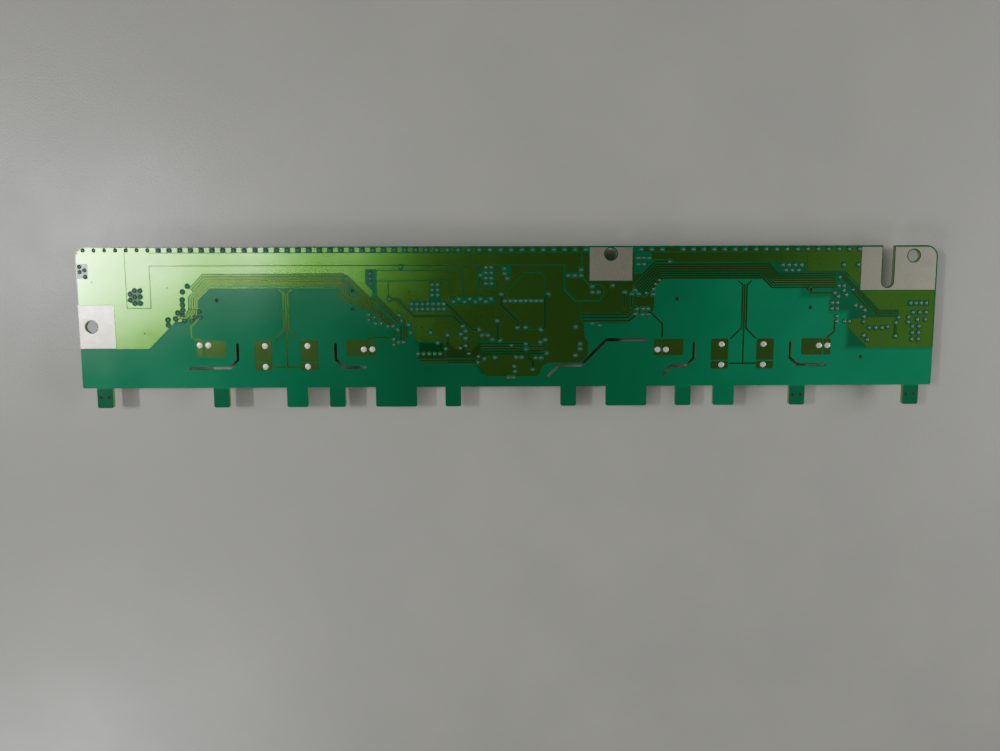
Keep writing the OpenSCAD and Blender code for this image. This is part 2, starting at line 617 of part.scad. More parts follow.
// Copper areas of the control section, divided by thin gaps
control_gaps = [
    at(control_x, [[7, 50], [43, 50], [44, 49], [44, 38.8]]),
    at(control_x, [[7, 45.6], [38.2, 45.6], [38.2, 37.6], [39.4, 35.4], [40, 33]]),
    at(control_x, [[12, 45.6], [12, 38.4]]),
    at(control_x, [[61.4, 39.6], [70.7, 49], [77.4, 49], [78.7, 47.7], [78.7, 38.4]]),
    at(control_x, [[67.6, 24.6], [77.4, 24.6]]),
    at(control_x, [[47.4, 20], [56, 20]])
];
// Copper-free windows around groups of vias
control_windows = [
    at(control_x, [[2.5, 50.4], [7.2, 50.4], [7.2, 39.6], [5.4, 39.6], [5.3, 41.6], [2.5, 44.4]]),
    at(control_x, [[29.6, 37.2], [34.3, 37.2], [34.3, 44.9], [29.6, 44.9]]),
    at(control_x, [[20.6, 36.3], [21.4, 37.2], [36.4, 37.2], [37.6, 34.4], [36.4, 32.5], [21.8, 32.5],
                   [20.6, 33.7]]),
    at(control_x, [[38.7, 38.4], [40.4, 38.9], [57.6, 38.9], [57.6, 35.5], [38.7, 35.5]]),
    at(control_x, [[60, 52.4], [64.5, 52.4], [64.5, 45.6], [61.8, 45.6], [61.6, 47.7], [60, 47.9]]),
    at(control_x, [[61, 38], [78.6, 38], [78.6, 36], [61, 36]]),
    at(control_x, [[23.2, 10], [26.9, 10], [26.9, 13], [35.3, 13], [35.3, 19.8], [23.2, 19.8]]),
    at(control_x, [[67.5, 13], [68.6, 13], [68.6, 13.8], [67.5, 13.8]]),
    at(control_x, [[70, 17], [70.8, 17], [70.8, 17.6], [70, 17.6]])
];

module control_pours() color([0.45, 0.58, 0.2]) layer(foil_t) difference() {
    polygon(concat(
        at(control_x, [[7.2, 49.9], [7.2, 39.4], [22.4, 24.2], [22.4, 21.8], [24, 20.2], [23.4, 19.6],
                       [23.4, 13.2], [26.2, 10.4], [48.5, 10], [53.6, 4.9], [54.4, 4.5], [75.8, 4.5],
                       [77.8, 8.5], [80.2, 10.3]]),
        at(right_x, [[4.6, 10.3], [15.4, 10.3], [17.6, 14.2], [17.6, 19.2], [16, 22], [15.6, 27.4],
                     [14.4, 28.8], [14.2, 36.4], [11.8, 36.4], [7, 41.5], [7, gap_y]]),
        at(control_x, [[58.1, gap_y], [58.1, 41.5], [50.2, 41.5], [50.2, 39.2], [44, 39.2],
                       [44, 49], [43, 49.9]])));
    for (p = control_windows) polygon(p);
    for (p = control_gaps) gap_line(p);
    for (p = slits) polygon(outline(longer(p, 1), slit_w + 1));
    control_clearance();
    right_tracks(track_gap);
    dots(right_vias, antipad_d);
}

// Earth area around the middle land
module middle_earth_pour() color([0.42, 0.55, 0.25]) layer(foil_t) difference() {
    polygon(at(right_x, [[15, strip_y], [15.6, 46.7], [18.2, 44.1], [23.2, 44.1], [24.6, 42.6],
                         [24.6, 39.4], [22.6, 36.6], [14.6, 36.6], [14.6, 29], [24.6, 27.4],
                         [34.6, 27.4], [37.6, 31], [44.4, 31], [45.8, 33], [46.2, 44], [45, 48],
                         [41, 48.2], [37.2, 48.2], [37.2, strip_y]]));
    translate([mid_land[0] - land_margin, mid_land[1] - land_margin])
        square([mid_land[2] + 2 * land_margin, mid_land[3] + 2 * land_margin]);
    translate([mid_land[0] + mid_land[2] + 0.9, mid_land[1] + 5.2]) square([cut, mid_land[3]]);
    right_tracks(track_gap);
    dots(right_vias, antipad_d);
}

// Supply area along the second transformer. Right of a gap across it, it reaches the screw side.
across_gap_x = 111.7;
module right_supply_pour() color([0.42, 0.55, 0.25]) layer(foil_t) difference() {
    polygon(at(right_x, [[44.8, strip_y], [44.8, 54.4], [53.6, 54.4], [54.4, 53.2], [111, 53.2],
                         [111, 49.4], [128.2, 49.4], [134.8, 42.8], [134.8, strip_y], [134, strip_y],
                         [134, zones[2] - edge_gap], [across_gap_x, zones[2] - edge_gap],
                         [across_gap_x, strip_y]]));
    gap_line(at(right_x, [[across_gap_x, 49], [across_gap_x, zones[2]]]));
    right_tracks(track_gap);
    dots(concat(right_vias, stitch_vias), antipad_d);
}

// Earth area at the power input, below the right land
module right_earth_pour() color([0.3, 0.5, 0.2]) layer(foil_t) difference() {
    polygon(concat(
        [[board_l - edge_gap, right_land[1] - land_margin], [board_l - edge_gap, 16.3]],
        at(right_x, [[139.3, 16.3], [130.4, 25.2], [131.4, 28.6], [135, 29], [138.6, 29], [141, 31.4],
                     [143.4, 33.2]]),
        [[right_x + 135.7, right_land[1] - land_margin]]));
    polygon(at(right_x, [[155.6, 34.1], [155.6, 36.8], [165.2, 36.8], [165.2, 34.1]]));
    polygon(at(right_x, [[138, 29.8], [138, 32], [141.6, 32], [143.6, 29.8]]));
    right_tracks(track_gap);
    dots(right_vias, antipad_d);
}

// Strips along the screw side, each from the clear circle of one via to that of the next. They
// run from the left area to the middle land, and from there to the gap across the supply area.
strips_from = left_x + 35;
strips_to = right_x + across_gap_x - gap_w / 2;
module edge_strips() color([0.7, 0.85, 0.4]) layer(foil_t)
    for (i = [0:len(stitch_vias) - 2]) {
        low = stitch_vias[i][0] + antipad_d / 2;
        high = min(stitch_vias[i + 1][0] - antipad_d / 2, strips_to);
        if (low > strips_from && high > low + gap_w && (high < mid_land[0] || low > mid_land[0]))
            translate([low, strip_top + gap_w])
                square([high - low, board_w - edge_gap - strip_top - gap_w]);
    }

// ---------------------------------------------------------------- earth lands
module land(at, size) {
    difference() {
        translate(at) square(size);
        screw_cuts(tin_gap);
    }
}

module left_earth_land() color([0.93, 0.93, 0.9]) layer(land_t)
    land([left_land[0], left_land[1]], [left_land[2], left_land[3]]);

module middle_earth_land() color([0.7, 0.69, 0.66]) layer(land_t)
    land([mid_land[0], mid_land[1]], [mid_land[2], mid_land[3]]);

// The right land follows the board's round corner
module right_earth_land() color([0.72, 0.71, 0.68]) layer(land_t) difference() {
    land([right_land[0], right_land[1]], [right_land[2], right_land[3]]);
    corner_margin(board_l - top_corner_r, 1);
}

// ---------------------------------------------------------------- component side
// Copper under the printed side's plates, and the tracks from it to the lamp fingers
lamp_track_w = 2;
contact_w = lamp_finger_w - 1.4;
lamp_routes = [
    concat(at(lamp_x(0), [[0, 0], [0, 10]]), at(left_tx, [[-72.3, 16.2], [-36, 16.2]])),
    concat(at(lamp_x(1), [[0, 0], [0, 2.2], [2, 4.2]]), at(left_tx, [[-13, 4.2], [-9.9, 8.5]])),
    concat(at(lamp_x(2), [[0, 0], [0, 2.2], [-2, 4.2]]), at(left_tx, [[13, 4.2], [9.9, 8.5]])),
    concat(at(lamp_x(3), [[0, 0], [0, 3]]), at(left_tx, [[58, 16.4], [36, 16.4]])),
    concat(at(lamp_x(4), [[0, 0], [0, 2], [3, 5]]), at(right_tx, [[-66, 5], [-55, 16], [-36, 16]])),
    concat(at(lamp_x(5), [[0, 0], [0, 1.4], [2, 3.4]]), at(right_tx, [[-13, 3.4], [-9.9, 8.5]])),
    concat(at(lamp_x(6), [[0, 0], [0, 1.8], [-2, 3.8]]), at(right_tx, [[13, 3.8], [9.9, 8.5]])),
    concat(at(lamp_x(7), [[0, 0], [0, 6]]), at(right_tx, [[64, 16.4], [36, 16.4]]))
];

module lamp_tracks() color([0.1, 0.4, 0.28]) component_side() linear_extrude(foil_t) difference() {
    union() {
        for (p = lamp_routes) polygon(outline(p, lamp_track_w));
        for (t = [left_tx, right_tx]) whole_plates(t);
    }
    for (p = slits) polygon(outline(longer(p, 1), slit_w + 1));
}

module lamp_contacts() color([0.85, 0.68, 0.3]) component_side() for (n = [0:7])
    translate([lamp_x(n) - contact_w / 2, -finger_len + finger_r])
        cube([contact_w, finger_len - finger_r, foil_t]);

// ---------------------------------------------------------------- transformers
// A transformer's own frame: x along it, z away from the board, origin at the board
core_back = 4.8;
leg_fit = 0.15;
mid_z = 4.75;
tube_w = mid_leg + 2 * (leg_fit + bobbin_wall);
tube_h = mid_leg_h + 2 * (leg_fit + bobbin_wall);
window = core_w / 2 - core_leg;
reel_l = core_l / 2 - core_back - 0.2;
flange_w = 2 * window - 0.4;
flange_h = rest_h - 0.7;
primary_l = 3.8;
sections = 5;
rib_t = 0.5;
section_l = (reel_l - bobbin_wall - primary_l - bobbin_wall - (sections - 1) * rib_t) / sections;
function section_start(i) = primary_l + bobbin_wall + i * (section_l + rib_t);
winding_side = window - tube_w / 2 - 0.8;
winding_top = 1.2;
block_l = 12;
block_end = core_l / 2 + 7;
block_h = core_lift - 0.15;
block_lift = 0.1;
pin_w = 0.8;
pin_run = 2.6;
pin_ys = [for (i = [-2:2]) 5.6 * i];

module transformer_place(tx) {
    component_side() translate([tx, tr_y, 0]) children();
}

// A rectangular frame around the middle leg, from x0, of length l, with walls in y and z
module frame_at(x0, l, wall_y, wall_z, in_w, in_h, r = 0.6) {
    translate([x0, 0, mid_z]) rotate([90, 0, 90]) linear_extrude(l) difference() {
        soft_square([-in_w / 2 - wall_y, -in_h / 2 - wall_z], [in_w + 2 * wall_y, in_h + 2 * wall_z], r);
        square([in_w, in_h], center = true);
    }
}

module flange(x0, t) {
    translate([x0, -flange_w / 2, mid_z - flange_h / 2]) cube([t, flange_w, flange_h]);
}

module bobbin(tx) {
    transformer_place(tx) {
        difference() {
            union() {
                translate([-reel_l, -tube_w / 2, mid_z - tube_h / 2]) cube([2 * reel_l, tube_w, tube_h]);
                for (s = [-1, 1]) {
                    flange(s < 0 ? -reel_l : reel_l - bobbin_wall, bobbin_wall);
                    flange(s < 0 ? -primary_l - bobbin_wall : primary_l, bobbin_wall);
                    for (i = [1:sections - 1])
                        flange(s * (section_start(i) - rib_t / 2) - rib_t / 2, rib_t);
                    translate([s < 0 ? -block_end : reel_l - bobbin_wall, -core_w / 2 + 0.5, block_lift])
                        cube([block_end - reel_l + bobbin_wall, core_w - 1, block_h]);
                }
            }
            translate([-reel_l - cut, -mid_leg / 2 - leg_fit, mid_z - mid_leg_h / 2 - leg_fit])
                cube([2 * reel_l + 2 * cut, mid_leg + 2 * leg_fit, mid_leg_h + 2 * leg_fit]);
        }
        for (p = peg_places(0))
            translate([p[0], p[1] - tr_y, 0.3 - board_t]) cylinder(d = peg_d, h = board_t + block_lift);
    }
}
module left_bobbin() color([0.12, 0.12, 0.13]) bobbin(left_tx);
module right_bobbin() color([0.12, 0.12, 0.13]) bobbin(right_tx);

// The two halves of a core meet across the air gap
module core_pair(tx) {
    transformer_place(tx) for (s = [-1, 1]) mirror([s < 0 ? 1 : 0, 0, 0]) {
        difference() {
            translate([air_gap / 2, -core_w / 2, core_lift])
                cube([core_l / 2 - air_gap / 2, core_w, core_h]);
            translate([-cut, -window, core_lift - cut])
                cube([core_l / 2 - core_back + cut, 2 * window, core_h + 2 * cut]);
        }
        translate([air_gap / 2, -mid_leg / 2, mid_z - mid_leg_h / 2])
            cube([core_l / 2 - core_back, mid_leg, mid_leg_h]);
    }
}
module left_core() color([0.2, 0.2, 0.22]) core_pair(left_tx);
module right_core() color([0.2, 0.2, 0.22]) core_pair(right_tx);

module primary(tx) {
    transformer_place(tx)
        frame_at(-primary_l + fit, 2 * (primary_l - fit), winding_side, winding_top, tube_w, tube_h);
}
module left_primary_winding() color([0.6, 0.3, 0.12]) primary(left_tx);
module right_primary_winding() color([0.6, 0.3, 0.12]) primary(right_tx);

module secondaries(tx) {
    transformer_place(tx) for (s = [-1, 1], i = [0:sections - 1]) {
        x = section_start(i) + fit;
        frame_at(s < 0 ? -x - section_l + 2 * fit : x, section_l - 2 * fit,
                 winding_side, winding_top, tube_w, tube_h);
    }
}
module left_secondary_windings() color([0.7, 0.42, 0.16]) secondaries(left_tx);
module right_secondary_windings() color([0.7, 0.42, 0.16]) secondaries(right_tx);

module core_tape(tx) {
    transformer_place(tx) translate([0, 0, core_lift + 1]) linear_extrude(core_h - 2) difference() {
        soft_square([-core_l / 2 - tape_t, -core_w / 2 - tape_t],
                    [core_l + 2 * tape_t, core_w + 2 * tape_t], 0.1);
        square([core_l, core_w], center = true);
    }
}
module left_core_tape() color([0.85, 0.7, 0.2]) core_tape(left_tx);
module right_core_tape() color([0.85, 0.7, 0.2]) core_tape(right_tx);

// Flat pins bent out under the ends of the bobbin
module terminals(tx) {
    transformer_place(tx) for (s = [-1, 1], y = pin_ys) translate([s * block_end, y - pin_w / 2, foil_t]) {
        translate([s < 0 ? -pin_run : 0, 0, 0]) cube([pin_run, pin_w, lead_t]);
        translate([s < 0 ? -lead_t : 0, 0, 0]) cube([lead_t, pin_w, block_h - 0.4]);
    }
}
module left_terminals() color([0.8, 0.8, 0.78]) terminals(left_tx);
module right_terminals() color([0.8, 0.8, 0.78]) terminals(right_tx);

// ---------------------------------------------------------------- transistors
// One row of eight, four to each transformer
fet_pitch = 11;
fet_places = at(control_x, [for (i = [0:7]) [16 + fet_pitch * i, 43.5]]);
tab_l = 1.1;
tab_t = 0.5;
tab_w = fet_l - 1.1;
fet_lead_w = 0.8;
fet_lead_x = 2.3;
fet_lead_run = 2.6;

module seated(places) {
    component_side() for (p = places) translate([p[0], p[1], foil_t]) children();
}

module transistor_bodies() color([0.13, 0.13, 0.14]) seated(fet_places)
    rotate([90, 0, 90]) translate([0, 0, -fet_l / 2]) linear_extrude(fet_l)
        polygon([[-fet_w / 2, 0.1], [fet_w / 2, 0.1], [fet_w / 2, fet_h * 0.55], [fet_w / 2 - 0.25, fet_h],
                 [-fet_w / 2 + 0.25, fet_h], [-fet_w / 2, fet_h * 0.55]]);

module transistor_tabs() color([0.82, 0.82, 0.8]) seated(fet_places) {
    translate([-tab_w / 2, fet_w / 2, 0]) cube([tab_w, tab_l, tab_t]);
    for (s = [-1, 1]) translate([s * fet_lead_x - fet_lead_w / 2, 0, 0])
        rotate([90, 0, 90]) linear_extrude(fet_lead_w)
            polygon(outline(at(-fet_w / 2, [[0, fet_h / 2], [-0.7, fet_h / 2], [-1.2, lead_t / 2],
                                            [-fet_lead_run, lead_t / 2]]), lead_t));
}

// ---------------------------------------------------------------- chips
// Body with bevelled long sides, from z = low up, and two rows of n bent leads
bevel = 0.15;
module chip_body(l, w, h, low = 0.12) {
    rotate([90, 0, 90]) translate([0, 0, -l / 2]) linear_extrude(l)
        polygon([[-w / 2 + bevel, low], [w / 2 - bevel, low], [w / 2, h / 2], [w / 2 - bevel, h],
                 [-w / 2 + bevel, h], [-w / 2, h / 2]]);
}
function lead_line(x, h) = at(x, [[0.02, h / 2], [0.4, h / 2], [0.7, lead_t / 2], [1.4, lead_t / 2]]);
module chip_leads(n, pitch, w, h, lead_w) {
    for (s = [-1, 1], i = [0:n - 1])
        translate([(i - (n - 1) / 2) * pitch - lead_w / 2, 0, 0])
            rotate([90, 0, 90]) linear_extrude(lead_w) mirror([s < 0 ? 1 : 0, 0, 0])
                polygon(outline(lead_line(w / 2, h), lead_t));
}

controller_place = [[control_x + 66, 12]];
controller_ways = 12;
controller_w = 5.3;
controller_l = controller_ways * controller_pitch + 0.4;
module controller_body() color([0.11, 0.11, 0.12]) seated(controller_place)
    chip_body(controller_l, controller_w, chip_body_h);
module controller_leads() color([0.8, 0.8, 0.78]) seated(controller_place)
    chip_leads(controller_ways, controller_pitch, controller_w, chip_body_h, 0.3);

comparator_places = at(control_x, [[37.5, 14], [48.5, 14], [87, 22]]);
comparator_pitch = 1.27;
comparator_w = 3.9;
comparator_l = 4 * comparator_pitch;
module comparator_bodies() color([0.11, 0.11, 0.12]) seated(comparator_places)
    chip_body(comparator_l, comparator_w, chip_body_h);
module comparator_leads() color([0.8, 0.8, 0.78]) seated(comparator_places)
    chip_leads(4, comparator_pitch, comparator_w, chip_body_h, 0.42);

// ---------------------------------------------------------------- capacitor cans
can_places = concat(at(left_x, [[24, 46], [35, 46]]),
                    [for (x = [12, 23, 66, 77]) [control_x + x, board_w - 7]]);
can_r = can_d / 2;
base_w = can_d + 0.3;
base_t = 1.1;
base_cut = 1.8;
can_lead_w = 1;
can_lead_out = 0.7;
can_lead_in = 0.8;

module can_shells() color([0.8, 0.81, 0.82]) seated(can_places) translate([0, 0, lead_t + base_t])
    rotate_extrude() polygon([[0, 0], [can_r - 0.1, 0], [can_r, 0.3], [can_r, 0.9], [can_r - 0.3, 1.2],
                              [can_r, 1.5], [can_r, can_h - 0.5], [can_r - 0.5, can_h], [0, can_h]]);
module can_bases() color([0.1, 0.1, 0.11]) seated(can_places) translate([0, 0, lead_t])
    linear_extrude(base_t) difference() {
        square(base_w, center = true);
        for (s = [0, 1]) mirror([0, s, 0])
            polygon([[base_w / 2 - base_cut, base_w / 2 + cut], [base_w / 2 - base_cut, base_w / 2],
                     [base_w / 2, base_w / 2 - base_cut], [base_w / 2 + cut, base_w / 2 + cut]]);
    }
module can_leads() color([0.8, 0.8, 0.78]) seated(can_places) for (s = [-1, 1])
    translate([s < 0 ? -base_w / 2 - can_lead_out : can_lead_in, -can_lead_w / 2, 0])
        cube([base_w / 2 + can_lead_out - can_lead_in, can_lead_w, lead_t]);

// ---------------------------------------------------------------- power input
// Socket with an open face away from the board, and flat contacts along one wall
socket_place = at(right_x, [[152, 30.5]]);
socket_wall = 0.8;
socket_floor = 0.9;
notch_w = 2.4;
notch_deep = 1.8;
contact_t = 0.35;
contact_wide = 0.4;
tail_out = 1.6;
contact_rise = socket_h - 1.2;

module socket_housing() color([0.9, 0.88, 0.8]) seated(socket_place) difference() {
    translate([-socket_l / 2, -socket_w / 2, lead_t]) cube([socket_l, socket_w, socket_h - lead_t]);
    translate([-socket_l / 2 + socket_wall, -socket_w / 2 + socket_wall, lead_t + socket_floor])
        cube([socket_l - 2 * socket_wall, socket_w - 2 * socket_wall, socket_h]);
    for (x = [-socket_l / 4, socket_l / 4])
        translate([x - notch_w / 2, socket_w / 2 - socket_wall - cut, socket_h - notch_deep])
            cube([notch_w, socket_wall + 2 * cut, notch_deep + cut]);
}
module socket_contacts() color([0.85, 0.7, 0.35]) seated(socket_place) for (i = [0:socket_ways - 1])
    translate([(i - (socket_ways - 1) / 2) * socket_pitch - contact_wide / 2, -socket_w / 2, 0]) {
        translate([0, socket_wall, lead_t + socket_floor])
            cube([contact_wide, contact_t, contact_rise - socket_floor]);
        translate([0, -tail_out, 0]) cube([contact_wide, tail_out + socket_wall, lead_t]);
    }

// Drum choke: two flanges on a post, with the winding between them
choke_place = at(right_x, [[129.6, 46.6]]);
choke_flange = 1.2;
choke_post = choke_w * 0.42;
choke_foot = 0.5;
choke_end = 3;
module choke_core() color([0.25, 0.25, 0.27]) seated(choke_place) translate([0, 0, choke_foot])
    rotate_extrude() polygon([[0, 0], [choke_w / 2, 0], [choke_w / 2, choke_flange],
                              [choke_post / 2, choke_flange], [choke_post / 2, choke_h - choke_flange],
                              [choke_w / 2, choke_h - choke_flange], [choke_w / 2, choke_h], [0, choke_h]]);
module choke_winding() color([0.65, 0.33, 0.14]) seated(choke_place) translate([0, 0, choke_foot])
    rotate_extrude() translate([choke_post / 2, choke_flange + fit])
        square([(choke_w - choke_post) / 2 - 0.6, choke_h - 2 * choke_flange - 2 * fit]);
module choke_terminals() color([0.8, 0.8, 0.78]) seated(choke_place) for (s = [-1, 1])
    translate([s * (choke_w / 2 - 1.1) - choke_end / 2, -choke_end / 2, 0])
        cube([choke_end, choke_end, choke_foot]);

fuse_place = at(right_x, [[145, 20.5]]);
fuse_l = 6.1;
fuse_w = 2.6;
fuse_end = 1.4;

// A part with two end caps: the body between them, or the caps themselves
module two_ends_body(l, w, h, end) {
    translate([-l / 2 + end, -w / 2 + 0.05, 0.05]) cube([l - 2 * end, w - 0.1, h - 0.1]);
}
module two_ends(l, w, h, end) {
    for (s = [-1, 1]) translate([s < 0 ? -l / 2 : l / 2 - end, -w / 2, 0]) cube([end, w, h]);
}
module fuse_body() color([0.85, 0.84, 0.78]) seated(fuse_place)
    two_ends_body(fuse_l, fuse_w, fuse_w, fuse_end);
module fuse_caps() color([0.85, 0.85, 0.83]) seated(fuse_place)
    two_ends(fuse_l, fuse_w, fuse_w, fuse_end);

// ---------------------------------------------------------------- small parts in rows
ceramic_places = at(control_x, concat([for (i = [0:9]) [26 + 5.5 * i, 26]],
                                      [for (i = [0:9]) [28 + 5.5 * i, 34.4]]));
ceramic_w = ceramic_l / 2;
ceramic_h = 1.2;
ceramic_end = 0.5;
module ceramic_bodies() color([0.62, 0.5, 0.38]) seated(ceramic_places)
    two_ends_body(ceramic_l, ceramic_w, ceramic_h, ceramic_end);
module ceramic_ends() color([0.82, 0.82, 0.8]) seated(ceramic_places)
    two_ends(ceramic_l, ceramic_w, ceramic_h, ceramic_end);

resistor_places = at(control_x, concat([for (i = [0:10], y = [21.6, 30.2]) [26 + 5 * i, y]],
                                       [for (i = [0:3]) [77 + 3.6 * i, 14]]));
resistor_w = 1.25;
resistor_h = 0.5;
resistor_end = 0.4;
module resistor_bodies() color([0.1, 0.1, 0.11]) seated(resistor_places)
    two_ends_body(resistor_l, resistor_w, resistor_h, resistor_end);
module resistor_ends() color([0.82, 0.82, 0.8]) seated(resistor_places)
    two_ends(resistor_l, resistor_w, resistor_h, resistor_end);

// Sense diodes beside each transformer's middle, and one at the power input
diode_places = concat([for (t = [left_tx, right_tx], s = [-1, 1]) [t + s * 18, 13.4]],
                      at(right_x, [[131, 33]]));
diode_l = 4.3;
diode_w = 2.6;
diode_h = 2.1;
diode_lead_w = 1.4;
module diode_bodies() color([0.12, 0.12, 0.13]) seated(diode_places)
    chip_body(diode_w, diode_l, diode_h, lead_t + 0.02);
module diode_leads() color([0.8, 0.8, 0.78]) seated(diode_places) for (s = [0, 1])
    mirror([0, s, 0]) translate([-diode_lead_w / 2, 0, 0]) rotate([90, 0, 90]) linear_extrude(diode_lead_w)
        polygon(outline(at(diode_l / 2, [[0.02, diode_h / 2], [0.4, diode_h / 2], [0.4, lead_t / 2],
                                         [-0.9, lead_t / 2]]), lead_t));

// Tinned pads under the leads
pad_over = 0.4;
module pad_at(x, y, l, w) {
    translate([x - l / 2, y - w / 2]) square([l, w]);
}
module component_pads() color([0.78, 0.78, 0.76]) component_side() linear_extrude(foil_t) {
    for (t = [left_tx, right_tx], s = [-1, 1], y = pin_ys)
        pad_at(t + s * (block_end + pin_run / 2 + pad_over), tr_y + y, pin_run, pin_w + 2 * pad_over);
    for (p = fet_places) {
        pad_at(p[0], p[1] + fet_w / 2 - 1, tab_w + 2 * pad_over, 2 * tab_l + 3);
        for (s = [-1, 1]) pad_at(p[0] + s * fet_lead_x, p[1] - fet_w / 2 - fet_lead_run + 0.5, 1.5, 2);
    }
    for (p = can_places, s = [-1, 1]) pad_at(p[0] + s * (base_w / 2 - 0.6), p[1], 3.6, 1.6);
    for (p = controller_place, s = [-1, 1], i = [0:controller_ways - 1])
        pad_at(p[0] + (i - (controller_ways - 1) / 2) * controller_pitch,
               p[1] + s * (controller_w / 2 + 1.1), 0.36, 1.4);
    for (p = comparator_places, s = [-1, 1], i = [0:3])
        pad_at(p[0] + (i - 1.5) * comparator_pitch, p[1] + s * (comparator_w / 2 + 1.1), 0.6, 1.4);
    for (i = [0:socket_ways - 1])
        pad_at(socket_place[0][0] + (i - (socket_ways - 1) / 2) * socket_pitch,
               socket_place[0][1] - socket_w / 2 - 0.9, 0.7, 2);
    for (s = [-1, 1]) {
        pad_at(choke_place[0][0] + s * (choke_w / 2 - 0.8), choke_place[0][1], 3.6, 4);
        pad_at(fuse_place[0][0] + s * (fuse_l / 2 - 0.5), fuse_place[0][1], 2.6, 3);
        for (p = ceramic_places) pad_at(p[0] + s * (ceramic_l / 2 - 0.1), p[1], 1.2, ceramic_w + 0.2);
        for (p = resistor_places) pad_at(p[0] + s * (resistor_l / 2 - 0.1), p[1], 1, resistor_w + 0.2);
        for (p = diode_places) pad_at(p[0], p[1] + s * (diode_l / 2 - 0.2), 1.8, 2);
    }
}

circuit_board();
left_earth_pour();
supply_pour();
control_pours();
middle_earth_pour();
right_supply_pour();
right_earth_pour();
edge_strips();
left_bus_tracks();
control_tracks();
right_bus_tracks();
sense_tracks();
left_capacitor_plates();
right_capacitor_plates();
left_earth_land();
middle_earth_land();
right_earth_land();
test_pads();
via_rings();
lamp_contacts();
lamp_tracks();
component_pads();
left_bobbin();
right_bobbin();
left_core();
right_core();
left_primary_winding();
right_primary_winding();
left_secondary_windings();
right_secondary_windings();
left_core_tape();
right_core_tape();
left_terminals();
right_terminals();
transistor_bodies();
transistor_tabs();
controller_body();
controller_leads();
comparator_bodies();
comparator_leads();
can_shells();
can_bases();
can_leads();
socket_housing();
socket_contacts();
choke_core();
choke_winding();
choke_terminals();
fuse_body();
fuse_caps();
ceramic_bodies();
ceramic_ends();
resistor_bodies();
resistor_ends();
diode_bodies();
diode_leads();
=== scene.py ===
"""Looks of a backlight inverter board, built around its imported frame.

The printed side faces up: green mask over laminate and copper, bare solder on the lands. The
component side faces down: transformers, cans, chips and rows of small parts.
"""

import json
import logging
import math
from collections.abc import Sequence
from dataclasses import dataclass, field
from enum import Enum

import bmesh
import bpy
import numpy as np
from mathutils import Matrix, Vector


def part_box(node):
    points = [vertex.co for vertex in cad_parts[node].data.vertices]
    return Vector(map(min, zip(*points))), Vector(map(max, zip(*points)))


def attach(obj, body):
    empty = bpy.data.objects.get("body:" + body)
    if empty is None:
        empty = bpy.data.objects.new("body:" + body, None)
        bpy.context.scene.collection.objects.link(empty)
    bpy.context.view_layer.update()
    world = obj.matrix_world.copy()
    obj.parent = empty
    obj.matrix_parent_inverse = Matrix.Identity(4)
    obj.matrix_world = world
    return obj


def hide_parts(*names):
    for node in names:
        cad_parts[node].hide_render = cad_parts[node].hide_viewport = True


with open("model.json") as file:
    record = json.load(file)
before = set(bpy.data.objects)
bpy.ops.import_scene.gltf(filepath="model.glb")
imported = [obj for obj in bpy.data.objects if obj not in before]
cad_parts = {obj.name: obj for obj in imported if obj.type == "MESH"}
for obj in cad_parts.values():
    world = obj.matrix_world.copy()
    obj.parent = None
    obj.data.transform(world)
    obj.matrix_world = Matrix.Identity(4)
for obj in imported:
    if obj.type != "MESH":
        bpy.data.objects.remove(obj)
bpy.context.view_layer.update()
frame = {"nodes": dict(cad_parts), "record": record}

MM = 0.001
BODY = "root"
PATCH_BAND = (0.36, 0.64)
GRAIN_LIFT = 0.1 * MM
SHARP_EDGE = math.radians(50)
WELD = 1e-7
UP, DOWN = 1, -1
LOG = logging.getLogger("board")
RANDOM = np.random.default_rng(7)


# ------------------------------------------------------------------ colour and nodes
def linear(code: str) -> tuple[float, float, float, float]:
    """Turns an sRGB hex colour into the linear values that a shader takes.

    Args:
        code: colour such as "#2f8a66".

    Returns:
        Linear red, green, blue and an alpha of 1.
    """
    values = [int(code[i : i + 2], 16) / 255 for i in (1, 3, 5)]
    return tuple(v / 12.92 if v <= 0.04045 else ((v + 0.055) / 1.055) ** 2.4 for v in values) + (1.0,)


def add(tree: bpy.types.NodeTree, kind: str, links: dict | None = None, **settings) -> bpy.types.Node:
    """Adds a node with its settings, values and links.

    Args:
        tree: node tree of the material.
        kind: node type, such as "ShaderNodeTexNoise".
        links: input name or number to a value, or to the output socket that feeds it.
        settings: attributes of the node itself.

    Returns:
        The new node.
    """
    node = tree.nodes.new(kind)
    for name, value in settings.items():
        setattr(node, name, value)
    for name, value in (links or {}).items():
        if isinstance(value, bpy.types.NodeSocket):
            tree.links.new(value, node.inputs[name])
        else:
            node.inputs[name].default_value = value
    return node


def ramp(tree: bpy.types.NodeTree, value: bpy.types.NodeSocket, span: tuple[float, float],
         ends: tuple[float, float] = (0.0, 1.0), **settings) -> bpy.types.NodeSocket:
    """A value that runs between two ends while another crosses a span, and holds outside it.

    Args:
        tree: node tree of the material.
        value: the socket that crosses the span.
        span: where it starts and stops.
        ends: what the result is at the start and at the stop.
        settings: attributes of the node itself.

    Returns:
        The socket of the result.
    """
    values = {"Value": value, "From Min": span[0], "From Max": span[1], "To Min": ends[0], "To Max": ends[1]}
    return add(tree, "ShaderNodeMapRange", values, **settings).outputs["Result"]


def reckon(tree: bpy.types.NodeTree, operation: str, first: bpy.types.NodeSocket,
           second: bpy.types.NodeSocket | float = 0.0) -> bpy.types.NodeSocket:
    """One step of arithmetic on a socket and a second socket or number."""
    return add(tree, "ShaderNodeMath", {0: first, 1: second}, operation=operation).outputs[0]


